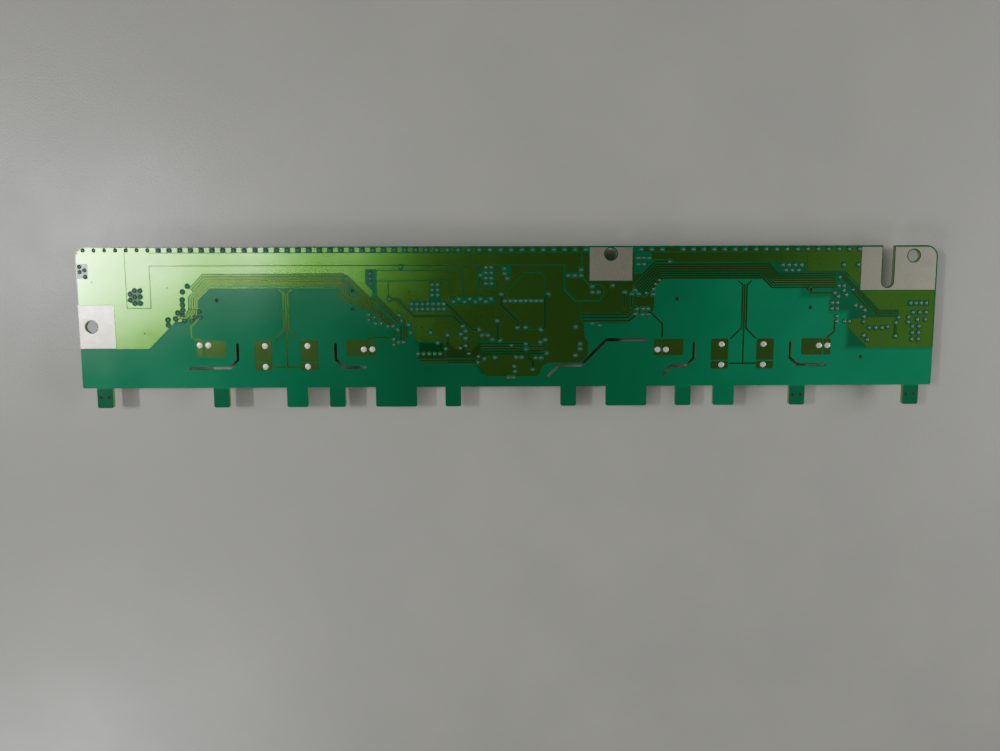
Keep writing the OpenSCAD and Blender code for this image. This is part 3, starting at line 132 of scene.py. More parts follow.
def blend(tree: bpy.types.NodeTree, share: bpy.types.NodeSocket, first: bpy.types.NodeSocket | tuple,
          second: bpy.types.NodeSocket | tuple) -> bpy.types.NodeSocket:
    """Two colours, mixed by the share of the second."""
    return add(tree, "ShaderNodeMix", {0: share, 6: first, 7: second}, data_type="RGBA").outputs[2]


# ------------------------------------------------------------------ finishes
@dataclass(frozen=True)
class Finish:
    """A surface whose colour and roughness drift in soft patches, with a fine grain in its relief.

    Fields: sRGB colours of the two kinds of patch, their size, metallic share, roughness of each,
    clear coat and its roughness, size and depth of the grain.
    """

    name: str
    base: str
    patch: str
    patch_mm: float = 8.0
    metallic: float = 0.0
    roughness: tuple[float, float] = (0.4, 0.5)
    coat: float = 0.0
    coat_roughness: float = 0.1
    grain_mm: float = 0.5
    grain_depth: float = 0.1
    ior: float = 1.5

    def build(self) -> bpy.types.Material:
        """Makes the material.

        Returns:
            The material, with all its nodes.
        """
        material = bpy.data.materials.new(self.name)
        material.use_nodes = True
        tree = material.node_tree
        shader = tree.nodes["Principled BSDF"]
        shader.inputs["Metallic"].default_value = self.metallic
        shader.inputs["Coat Weight"].default_value = self.coat
        shader.inputs["Coat Roughness"].default_value = self.coat_roughness
        if not self.metallic:
            shader.inputs["IOR"].default_value = self.ior
        place = add(tree, "ShaderNodeTexCoord").outputs["Object"]
        patches = self.patches(tree, place)
        tree.links.new(self.colour(tree, place, patches), shader.inputs["Base Color"])
        tree.links.new(ramp(tree, patches, (0.0, 1.0), self.roughness), shader.inputs["Roughness"])
        tree.links.new(self.relief(tree, place), shader.inputs["Normal"])
        return material

    def patches(self, tree: bpy.types.NodeTree, place: bpy.types.NodeSocket) -> bpy.types.NodeSocket:
        """Soft patches of the stated size, from 0 to 1."""
        noise = add(tree, "ShaderNodeTexNoise",
                    {"Vector": place, "Scale": 1 / (self.patch_mm * MM), "Detail": 4.0, "Roughness": 0.55})
        return ramp(tree, noise.outputs["Fac"], PATCH_BAND)

    def colour(self, tree: bpy.types.NodeTree, place: bpy.types.NodeSocket,
               patches: bpy.types.NodeSocket) -> bpy.types.NodeSocket:
        """The two colours, mixed by the patches."""
        return blend(tree, patches, linear(self.base), linear(self.patch))

    def relief(self, tree: bpy.types.NodeTree, place: bpy.types.NodeSocket) -> bpy.types.NodeSocket:
        """Fine grain in the surface's normal."""
        grain = add(tree, "ShaderNodeTexNoise",
                    {"Vector": place, "Scale": 1 / (self.grain_mm * MM), "Detail": 3.0})
        return add(tree, "ShaderNodeBump", {"Height": grain.outputs["Fac"], "Strength": self.grain_depth,
                                            "Distance": GRAIN_LIFT}).outputs[0]


@dataclass(frozen=True)
class MaskedLaminate(Finish):
    """Green mask, printed and cured over woven glass and epoxy.

    The laminate lets light through, so it glows where it is bare on both sides. It is darker where
    copper lies round it or behind it, partly its real look and partly painted shade, and a painted
    shade darkens it towards the middle of the board, where the light fell off. The weave just shows
    as a fine check, and routed edges show the bare, paler glass and resin.

    Fields: colour of the painted shade on the mask and of the two kinds of layer in a routed wall,
    spacing of layers and of threads, depth of the weave, and how level a face is, against a wall. Then
    the painted shade, in millimetres and on the printed side only, which starts half way up the
    laminate: boxes (low x, low y, high x, high y and depth of shade) and the softness of their edges;
    lamp fingers, by the first, the pitch, half a finger's width, the width of its soft edge, where
    fingers start across the board, and their shade; and the board's middle, with how far from it the
    painted shade starts to fade and ends, and its depth.
    """

    # Colour of the painted shade that the fields below mix into the mask
    shade: str = "#063812"
    glass: str = "#8b9a62"
    resin: str = "#6d7f4a"
    layer_mm: float = 0.8
    weave_mm: float = 0.9
    weave_depth: float = 0.02
    level: tuple[float, float] = (0.4, 0.6)
    printed_side: tuple[float, float] = (9.6, 10.0)
    # Boxes of painted shade where copper lies round the laminate or behind it, partly its real look
    boxes: tuple[tuple[float, float, float, float, float], ...] = (
        (-186, 25.5, -57, 36, 0.6), (-186, -6.4, -153, 36, 0.55), (-153, 2, -139, 36, 0.55),
        (-139, 21, -57, 36, 0.6), (-57, 6, -42, 36, 0.6), (-42, -9, 33, 36, 0.68),
        (-40, -14, -12, -6, 0.95), (-14, -21.4, 14, -9, 0.8), (33, 2, 50, 36, 0.68),
        (50, 20, 186, 36, 0.64), (125, 12, 140, 21, 0.4), (138, 6, 186, 21, 0.55),
        (146, -9.6, 186, 8, 0.6))
    soft_mm: float = 2.4
    # Painted shade on the lamp fingers, which carry contacts behind
    finger_x: float = -175.0
    finger_pitch: float = 50.0
    finger_half: float = 3.7
    finger_edge: float = 0.3
    finger_start: tuple[float, float] = (-25.4, -26.6)
    finger_shade: float = 0.5
    # Painted shade towards the board's middle, where the light fell off
    middle_x: float = -4.0
    middle_reach: tuple[float, float] = (25.0, 160.0)
    middle_shade: float = 0.61

    def colour(self, tree: bpy.types.NodeTree, place: bpy.types.NodeSocket,
               patches: bpy.types.NodeSocket) -> bpy.types.NodeSocket:
        """The mask's colour on the faces, with its fields of painted shade, and bare laminate on every
        routed wall.
        """
        open_face = super().colour(tree, place, patches)
        face = blend(tree, self.shaded(tree, place), open_face, linear(self.shade))
        normal = add(tree, "ShaderNodeNewGeometry").outputs["True Normal"]
        upward = add(tree, "ShaderNodeSeparateXYZ", {0: normal}).outputs["Z"]
        flat = ramp(tree, reckon(tree, "ABSOLUTE", upward), self.level)
        layers = add(tree, "ShaderNodeTexWave", {"Vector": place, "Scale": 1 / (self.layer_mm * MM),
                                                 "Distortion": 1.5}, bands_direction="Z")
        wall = blend(tree, layers.outputs["Fac"], linear(self.glass), linear(self.resin))
        return blend(tree, flat, wall, face)

    def shaded(self, tree: bpy.types.NodeTree, place: bpy.types.NodeSocket) -> bpy.types.NodeSocket:
        """How deep the painted shade on the laminate is, from 0 to 1, where copper lies round it or behind
        it and towards the middle: the deepest of all the fields, and none on the component side."""
        along = add(tree, "ShaderNodeSeparateXYZ", {0: place}).outputs
        most = self.fingers(tree, along)
        # Painted shade that deepens towards the board's middle, where the light fell off
        aside = reckon(tree, "ABSOLUTE", reckon(tree, "ADD", along["X"], -self.middle_x * MM))
        fades, ends = self.middle_reach
        middle = ramp(tree, aside, (fades * MM, ends * MM), (self.middle_shade, 0.0),
                      interpolation_type="SMOOTHSTEP")
        most = reckon(tree, "MAXIMUM", most, middle)
        # Boxes of painted shade, where copper lies round the laminate or behind it
        for box in self.boxes:
            most = reckon(tree, "MAXIMUM", most, self.box(tree, place, *box))
        starts, full = self.printed_side
        printed = ramp(tree, along["Z"], (starts * MM, full * MM))
        return reckon(tree, "MULTIPLY", most, printed)

    def fingers(self, tree: bpy.types.NodeTree, along: bpy.types.NodeOutputs) -> bpy.types.NodeSocket:
        """The painted shade of every lamp finger, which carries a contact behind."""
        from_first = reckon(tree, "ADD", along["X"], -self.finger_x * MM)
        to_finger = reckon(tree, "PINGPONG", from_first, self.finger_pitch / 2 * MM)
        across = ramp(tree, to_finger, (self.finger_half * MM, (self.finger_half + self.finger_edge) * MM),
                      (self.finger_shade, 0.0))
        starts, full = self.finger_start
        return reckon(tree, "MULTIPLY", across, ramp(tree, along["Y"], (starts * MM, full * MM)))

    def box(self, tree: bpy.types.NodeTree, place: bpy.types.NodeSocket, low_x: float, low_y: float,
            high_x: float, high_y: float, depth: float) -> bpy.types.NodeSocket:
        """The painted shade of one box: its depth inside, fading over the soft edge."""
        centre = ((low_x + high_x) / 2 * MM, (low_y + high_y) / 2 * MM, 0.0)
        half = ((high_x - low_x) / 2 * MM, (high_y - low_y) / 2 * MM, 1.0)
        away = add(tree, "ShaderNodeVectorMath", {0: place, 1: centre}, operation="SUBTRACT").outputs[0]
        size = add(tree, "ShaderNodeVectorMath", {0: away}, operation="ABSOLUTE").outputs[0]
        out = add(tree, "ShaderNodeVectorMath", {0: size, 1: half}, operation="SUBTRACT").outputs[0]
        sides = add(tree, "ShaderNodeSeparateXYZ", {0: out}).outputs
        reach = self.soft_mm / 2 * MM
        return ramp(tree, reckon(tree, "MAXIMUM", sides["X"], sides["Y"]), (-reach, reach), (depth, 0.0))

    def relief(self, tree: bpy.types.NodeTree, place: bpy.types.NodeSocket) -> bpy.types.NodeSocket:
        """The weave: the sum of two crossed waves, one thread apart. Real threads are half as wide,
        and are drawn coarser so that they show."""
        pitch = 1 / (self.weave_mm * MM * math.pi)
        across = [add(tree, "ShaderNodeTexWave", {"Vector": place, "Scale": pitch, "Distortion": 0.6},
                      bands_direction=way).outputs["Fac"] for way in ("X", "Y")]
        both = reckon(tree, "ADD", *across)
        return add(tree, "ShaderNodeBump", {"Height": both, "Strength": self.grain_depth,
                                            "Distance": self.weave_depth * MM}).outputs[0]


class Look(Enum):
    """Every finish. The record's material slots are the names of most of them, and the rest are for
    small pieces of the scene and for the bench."""

    # Cured liquid mask on bare laminate: a satin green with the weave just under it, darkened by fields of
    # painted shade
    board_laminate = MaskedLaminate("mask_over_glass_epoxy_laminate_with_painted_shade", "#0e7c55", "#13845b",
                                    patch_mm=30.0, roughness=(0.15, 0.18), ior=1.45)
    # The same mask on foil: the copper under it gives a yellow-green, metallic sheen
    masked_copper = Finish("mask_over_copper_foil", "#70b84a", "#6ab048", patch_mm=14.0, metallic=0.94,
                           roughness=(0.18, 0.22), coat=0.25, grain_mm=0.4, grain_depth=0.015)
    # Narrow foil: the mask is thicker beside it, so it looks browner and duller
    masked_track = Finish("mask_over_etched_tracks", "#567f30", "#4e752e", patch_mm=6.0, metallic=0.88,
                          roughness=(0.2, 0.25), coat=0.25, grain_mm=0.3, grain_depth=0.02)
    # Foil plates on both sides of the laminate, seen as a dark, brownish olive
    masked_plate = Finish("mask_over_copper_plates", "#48702a", "#416828", patch_mm=5.0, metallic=0.6,
                          roughness=(0.2, 0.25), coat=0.4, coat_roughness=0.16, grain_mm=0.3,
                          grain_depth=0.08)
    # Hot-air levelled solder: frozen in soft, dull mottles
    solder_levelled_tin = Finish("hot_air_levelled_solder", "#d2cfbc", "#c0bdaa", patch_mm=5.0,
                                 metallic=0.8, roughness=(0.26, 0.32), grain_mm=1.4, grain_depth=0.12)
    # Solder wetted by reflow: bright and rounded
    bright_solder = Finish("reflowed_solder", "#efeee6", "#dcdbd2", patch_mm=0.8, metallic=0.5,
                           roughness=(0.25, 0.38), grain_mm=0.4, grain_depth=0.15)
    # Plated ring under a thick bead of mask: a dark, bluish green, partly painted shade of the clear ring
    # round the via
    masked_via = Finish("mask_over_plated_rings", "#0a4a2c", "#094227", patch_mm=1.5,
                        roughness=(0.45, 0.55), coat_roughness=0.2, grain_mm=0.3)
    # Solder in the via's mouth, seen pale through a thin, dull skin of mask
    via_plug = Finish("solder_under_thin_mask", "#4c8f6c", "#3c7d5b", patch_mm=0.9, metallic=0.1,
                      coat=0.1, grain_mm=0.3)
    # Flash of gold on nickel: smooth and warm
    gold_contact = Finish("gold_flash_on_nickel", "#d9b25a", "#cfa650", patch_mm=1.5, metallic=1.0,
                          roughness=(0.22, 0.32), grain_mm=0.2)
    # Glass-filled phenolic from a mould: black, matt, with a slight orange-peel
    black_phenolic = Finish("moulded_phenolic", "#17171a", "#1e1e21", patch_mm=4.0,
                            roughness=(0.5, 0.62), grain_mm=0.25, grain_depth=0.3)
    # Pressed, sintered and ground ferrite: charcoal, dull, with a sandy grain
    ferrite = Finish("ground_manganese_zinc_ferrite", "#35353a", "#2a2a2f", patch_mm=1.2, metallic=0.25,
                     roughness=(0.5, 0.65), grain_mm=0.2, grain_depth=0.5)
    # Enamelled copper: warm red-brown metal under clear varnish
    primary_wire = Finish("enamelled_copper_wire", "#a4552a", "#8d4522", patch_mm=2.0, metallic=0.85,
                          roughness=(0.28, 0.38), coat=0.5, coat_roughness=0.12, grain_mm=0.3)
    # Hair-fine enamelled wire: paler, with the single turns lost in a silky sheen
    secondary_wire = Finish("fine_enamelled_copper_wire", "#b87536", "#a3632c", patch_mm=2.0,
                            metallic=0.8, roughness=(0.34, 0.44), coat=0.3, coat_roughness=0.2,
                            grain_mm=0.15, grain_depth=0.15)
    # Polyester film tape: glossy yellow, slightly wrinkled
    polyester_tape = Finish("polyester_film_tape", "#d8a520", "#cb9714", patch_mm=6.0,
                            roughness=(0.18, 0.3), coat=0.4, grain_mm=2.5, grain_depth=0.25)
    # Copper leads dipped in tin: satin grey-white
    tinned_lead = Finish("tin_plated_copper_lead", "#c9c8c2", "#b7b6b0", patch_mm=1.0, metallic=0.9,
                         roughness=(0.28, 0.42), grain_mm=0.3, grain_depth=0.2)
    # Transfer-moulded epoxy: near black with a fine spark-eroded matt
    black_epoxy = Finish("moulded_epoxy", "#141416", "#1a1a1c", patch_mm=3.0, roughness=(0.52, 0.62),
                         grain_mm=0.12, grain_depth=0.4)
    # Deep-drawn aluminium can: bright satin with a faint grain
    can_aluminium = Finish("drawn_aluminium", "#c8cacc", "#bcbec1", patch_mm=3.0, metallic=1.0,
                           roughness=(0.25, 0.34), grain_mm=0.3)
    # Nylon from a polished mould: warm white, faintly translucent
    ivory_nylon = Finish("moulded_nylon", "#e3dcc4", "#dbd3ba", patch_mm=4.0, roughness=(0.36, 0.45),
                         grain_mm=0.3, grain_depth=0.12)
    # Glazed ceramic tube: clean white
    fuse_ceramic = Finish("glazed_ceramic", "#e4e2d8", "#dad8cc", patch_mm=2.0, roughness=(0.2, 0.3),
                          coat=0.3, coat_roughness=0.08, grain_mm=0.4)
    # Fired barium titanate: dry brown with a chalky grain
    capacitor_ceramic = Finish("fired_ceramic", "#8a6a4c", "#7b5d42", patch_mm=0.8,
                               roughness=(0.5, 0.6), grain_mm=0.15, grain_depth=0.25)
    # Lead-glass glaze over the resistive film: black and glassy
    resistor_glaze = Finish("printed_glass_glaze", "#151517", "#1b1b1e", patch_mm=0.8,
                            roughness=(0.15, 0.25), coat=0.3, coat_roughness=0.08, grain_mm=0.2)
    # Drilled wall in shadow: nearly black green
    drilled_hole = Finish("drilled_wall_in_shadow", "#04100a", "#06160d", patch_mm=0.6,
                          roughness=(0.6, 0.7), grain_mm=0.2)
    # Pad-printed ink, dry and matt
    black_ink = Finish("pad_printed_ink", "#101012", "#151517", patch_mm=1.0, roughness=(0.6, 0.7),
                       grain_mm=0.2, grain_depth=0.2)
    # Painted bench top: pale grey with a fine, dry texture
    bench_paint = Finish("textured_bench_paint", "#aeaea6", "#a8a8a1", patch_mm=60.0,
                         roughness=(0.3, 0.36), grain_mm=0.7, grain_depth=0.6)


class Paint:
    """Builds each finish once and hands it out."""

    def __init__(self) -> None:
        """Starts with no material made."""
        self.made: dict[Look, bpy.types.Material] = {}

    def of(self, look: Look) -> bpy.types.Material:
        """The material of a finish, made on first use."""
        if look not in self.made:
            self.made[look] = look.value.build()
        return self.made[look]

    def dress(self, piece: bpy.types.Object, look: Look) -> None:
        """Puts a finish on every material slot of a piece."""
        if not piece.material_slots:
            piece.data.materials.append(self.of(look))
        for place in piece.material_slots:
            place.material = self.of(look)


PAINT = Paint()


# ------------------------------------------------------------------ surfaces
def islands(node: str) -> np.ndarray:
    """Boxes of the separate solids of a CAD node.

    Each vertex starts with its own label, and every triangle gives its corners the smallest label
    among them until none changes, so each solid ends with one label.

    Args:
        node: name of the CAD node.

    Returns:
        Array of (solid, low or high, axis), in metres, sorted by x and then y.
    """
    mesh = frame["nodes"][node].data
    places = np.zeros(len(mesh.vertices) * 3)
    mesh.vertices.foreach_get("co", places)
    mesh.calc_loop_triangles()
    corners = np.zeros(len(mesh.loop_triangles) * 3, int)
    mesh.loop_triangles.foreach_get("vertices", corners)
    places = places.reshape(-1, 3)
    _, same = np.unique(np.round(places, 7), axis=0, return_inverse=True)
    same = same.reshape(-1)
    corners = same[corners].reshape(-1, 3)
    label = np.arange(same.max() + 1)
    while True:
        before = label.copy()
        least = label[corners].min(1)
        for k in range(3):
            np.minimum.at(label, corners[:, k], least)
        label = label[label]
        if (label == before).all():
            break
    names, which = np.unique(label[same], return_inverse=True)
    which = which.reshape(-1)
    low = np.full((len(names), 3), np.inf)
    high = -low
    np.minimum.at(low, which, places)
    np.maximum.at(high, which, places)
    boxes = np.stack([low, high], 1)
    return boxes[np.lexsort((low[:, 1].round(5), low[:, 0].round(5)))]


def build(name: str, grids: np.ndarray, look: Look, replaces: tuple[str, ...] = (),
          smooth: bool = True) -> bpy.types.Object:
    """Makes one piece from closed grids of points, and hangs it under the part's body.

    Rows run from pole to pole or round a closed section, and columns run round each row. Every
    quad joins four neighbours, and doubled points at poles and seams are then merged.

    Args:
        name: name of the piece.
        grids: array of (solid, row, column, axis), in metres.
        look: its finish.
        replaces: CAD nodes that the piece stands for.
        smooth: whether its faces are shaded as one curve.

    Returns:
        The finished object.
    """
    count, rows, columns, _ = grids.shape
    numbers = np.arange(count * rows * columns).reshape(count, rows, columns)
    right = np.roll(numbers, -1, axis=2)
    quads = np.stack([numbers[:, :-1], right[:, :-1], right[:, 1:], numbers[:, 1:]], -1).reshape(-1, 4)
    mesh = bpy.data.meshes.new(name)
    mesh.from_pydata(grids.reshape(-1, 3).tolist(), [], quads.tolist())
    shell = bmesh.new()
    shell.from_mesh(mesh)
    bmesh.ops.remove_doubles(shell, verts=shell.verts, dist=WELD)
    bmesh.ops.recalc_face_normals(shell, faces=shell.faces)
    shell.to_mesh(mesh)
    shell.free()
    mesh.polygons.foreach_set("use_smooth", np.full(len(mesh.polygons), smooth))
    piece = bpy.data.objects.new(name, mesh)
    bpy.context.scene.collection.objects.link(piece)
    if smooth:
        edges = piece.modifiers.new("sharp_edges", "EDGE_SPLIT")
        edges.split_angle = SHARP_EDGE
    PAINT.dress(piece, look)
    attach(piece, BODY)
    if replaces:
        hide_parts(*replaces)
    LOG.info("%s: %d solids, %d faces", name, count, len(mesh.polygons))
    return piece


def turned(profile: Sequence[tuple[float, float]], centres: np.ndarray, base: float, way: float,
           columns: int, start: float = 0.0) -> np.ndarray:
    """Turned solids: a profile of radius and height spun about an upright axis.

    A point at radius r and angle a lies at (x + r cos a, y + r sin a, base + way * height).

    Args:
        profile: (radius, height) pairs in millimetres, from the axis out and back to the axis.
        centres: (solid, x and y), in metres.
        base: height of the profile's zero, in metres.
        way: UP or DOWN, where the heights go.
        columns: steps round the axis.
        start: angle of the first step, in radians.

    Returns:
        Array of (solid, row, column, axis).
    """
    line = np.array(profile) * MM
    angle = start + np.arange(columns) * 2 * math.pi / columns
    ring = np.stack([np.cos(angle), np.sin(angle)], -1)
    flat = centres[:, None, None, :2] + line[None, :, 0, None, None] * ring[None, None]
    height = np.broadcast_to((base + way * line[:, 1])[None, :, None, None], flat.shape[:3] + (1,))
    return np.concatenate([flat, height], -1)


def superellipse(columns: int, power: float) -> np.ndarray:
    """Unit rounded square: each angle's cosine and sine, raised to 2 / power and with their signs."""
    angle = (np.arange(columns) + 0.5) * 2 * math.pi / columns
    edge = np.stack([np.cos(angle), np.sin(angle)], -1)
    return np.sign(edge) * np.abs(edge) ** (2 / power)


# ------------------------------------------------------------------ the printed side
@dataclass
class PrintedSide:
    """Vias, small holes and test pads.

    Fields, in millimetres: radius and height of a via, its rim and its plug as (share of the radius,
    share of the height); height of a test pad, and the shares of its radius where it has a row; sides
    of each turned thing; pitch of the lamp fingers, which of them have a pair of holes, and where;
    the lone pin holes; and the (radius, height) profiles of both kinds of hole.
    """

    via_r: float = 0.7
    via_h: float = 0.09
    via_rim: tuple[tuple[float, float], ...] = (
        (0, 0), (1.45, 0), (1.4, 0.2), (1, 0.3), (0.9, 0.8), (0.72, 1), (0.55, 0.8), (0.5, 0.3), (0, 0.3))
    via_plug: tuple[tuple[float, float], ...] = ((0, 0.3), (0.56, 0.3), (0.5, 0.7), (0.26, 0.95), (0, 1))
    pad_h: float = 0.08
    pad_steps: tuple[float, ...] = (1, 0.97, 0.85, 0.6, 0.3, 0)
    rim_sides: int = 12
    plug_sides: int = 10
    hole_sides: int = 14
    pin_sides: int = 12
    pad_sides: int = 24
    lamp_pitch: float = 50.0
    marked_fingers: tuple[int, ...] = (0, 6, 7)
    mark_out: float = 1.7
    mark_y: float = -29.8
    pin_holes: tuple[tuple[float, float], ...] = (
        (-177.6, 19.6), (-145.9, 17.1), (-156.5, -2.3), (-43.2, 15.2), (-38, 0.2), (-12.6, 4.9), (19, 18.1),
        (8.1, 6.3), (-7, -17.8), (21.7, -2.8), (133.2, 26.5), (164.8, 9.2))
    finger_dish: tuple[tuple[float, float], ...] = ((0, 0), (0.72, 0), (0.6, 0.03), (0, 0.02))
    pin_dish: tuple[tuple[float, float], ...] = ((0, 0), (0.42, 0), (0.34, 0.09), (0, 0.08))

    def vias(self) -> None:
        """Plated vias: a bead of mask with a rounded rim and a thin skirt, and a small dome of solder
        in its mouth."""
        boxes = islands("via_rings")
        centres, top = boxes.mean(1), boxes[0, 0, 2]
        rim = [(self.via_r * out, self.via_h * up) for out, up in self.via_rim]
        build("plated_vias", turned(rim, centres, top, UP, self.rim_sides), Look.masked_via,
              ("via_rings",))
        plug = [(self.via_r * out, self.via_h * up) for out, up in self.via_plug]
        build("via_plugs", turned(plug, centres, top, UP, self.plug_sides), Look.via_plug)

    def holes(self) -> None:
        """Small open holes in the mask: those on three lamp fingers and the lone ones elsewhere."""
        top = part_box("circuit_board")[1].z
        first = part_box("lamp_contacts")[0].x + 0.5 * (self.lamp_finger_w() * MM)
        fingers = [(first + n * self.lamp_pitch * MM + side * self.mark_out * MM, self.mark_y * MM)
                   for n in self.marked_fingers for side in (-1, 1)]
        build("finger_holes", turned(self.finger_dish, np.array(fingers), top, UP, self.hole_sides),
              Look.drilled_hole)
        alone = np.array(self.pin_holes) * MM
        build("pin_holes", turned(self.pin_dish, alone, top, UP, self.pin_sides), Look.drilled_hole)

    @staticmethod
    def lamp_finger_w() -> float:
        """Width of a lamp finger's contact, in millimetres, from the frame."""
        boxes = islands("lamp_contacts")
        return float((boxes[0, 1, 0] - boxes[0, 0, 0]) / MM)

    def pads(self) -> None:
        """Test pads: low domes of solder, each half an ellipse in section."""
        boxes = islands("test_pads")
        r = float(boxes[0, 1, 0] - boxes[0, 0, 0]) / 2 / MM
        dome = [(0, 0)] + [(r * t, self.pad_h * (1 - t * t) ** 0.5) for t in self.pad_steps]
        build("solder_domes", turned(dome, boxes.mean(1), boxes[0, 0, 2], UP, self.pad_sides),
              Look.bright_solder, ("test_pads",))


# ------------------------------------------------------------------ wound pieces
@dataclass
class Windings:
    """Wire wound on the bobbins and on the choke.

    Fields: spacing of the turns of each kind in millimetres, drawn coarser than the real wire so
    that it shows; how square a coil's corners are; sides round a coil and the choke; places of the
    rows across one turn of each; how far a turn sinks at most, in millimetres; and each inner wall
    as a share of the outside.
    """

    primary_wire: float = 0.55
    secondary_wire: float = 0.34
    choke_wire: float = 0.6
    corner: float = 8.0
    coil_sides: int = 28
    choke_sides: int = 40
    coil_rows: tuple[float, ...] = (0.02, 0.25, 0.5, 0.75, 0.98)
    choke_rows: tuple[float, ...] = (0.04, 0.25, 0.5, 0.75, 0.96)
    sink: float = 0.06
    coil_wall: float = 0.55
    choke_wall: float = 0.45

    def coil(self, name: str, node: str, wire: float, look: Look) -> None:
        """Flat-sided coils: a row of half-round turns on a rounded rectangle, closed by an inner wall.

        Along the axis the outside is the wall plus half a turn times the root of one minus the
        square of the place within the turn, and each turn is sunk a little by chance.

        Args:
            name: name of the piece.
            node: CAD node of the plain windings.
            wire: spacing of the turns, in millimetres.
            look: its finish.
        """
        boxes = islands(node)
        ring = superellipse(self.coil_sides, self.corner)
        rows_a_turn = len(self.coil_rows)
        solids = []
        for low, high in boxes:
            turns = max(2, round((high[0] - low[0]) / (wire * MM)))
            step = (high[0] - low[0]) / turns
            inside = np.tile(self.coil_rows, turns)
            along = low[0] + (np.repeat(np.arange(turns), rows_a_turn) + inside) * step
            lift = (np.sqrt(1 - (2 * inside - 1) ** 2) - 1) * step / 2
            lift = lift - np.repeat(RANDOM.uniform(0, self.sink, turns), rows_a_turn) * MM
            half = (high - low)[1:] / 2
            outer = half[None, None] + lift[:, None, None]
            inner = np.broadcast_to(half * self.coil_wall, (1, 1, 2))
            sizes = np.concatenate([inner, outer, inner, inner])
            places = np.concatenate([[low[0]], along, [high[0], low[0]]])
            yz = sizes * ring[None] + (low + high)[1:] / 2
            x = np.broadcast_to(places[:, None, None], yz.shape[:2] + (1,))
            solids.append(np.concatenate([x, yz], -1))
        rows = max(s.shape[0] for s in solids)
        grids = np.stack([np.concatenate([s, np.repeat(s[-1:], rows - len(s), 0)]) for s in solids])
        build(name, grids, look, (node,))

    def choke(self) -> None:
        """Drum coil: round turns stacked along the post, with radius by the same root formula."""
        low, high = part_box("choke_winding")
        centre = (low + high) / 2
        tall = (high.z - low.z) / MM
        outer = (high.x - low.x) / 2 / MM
        turns = round(tall / self.choke_wire)
        step = tall / turns
        inside = np.tile(self.choke_rows, turns)
        height = (np.repeat(np.arange(turns), len(self.choke_rows)) + inside) * step
        radius = outer + (np.sqrt(1 - (2 * inside - 1) ** 2) - 1) * step / 2
        wall = self.choke_wall * outer
        profile = [(wall, 0.0), *zip(radius, height), (wall, tall), (wall, 0.0)]
        build("choke_coil", turned(profile, np.array([centre[:2]]), low.z, UP, self.choke_sides),
              Look.primary_wire, ("choke_winding",))


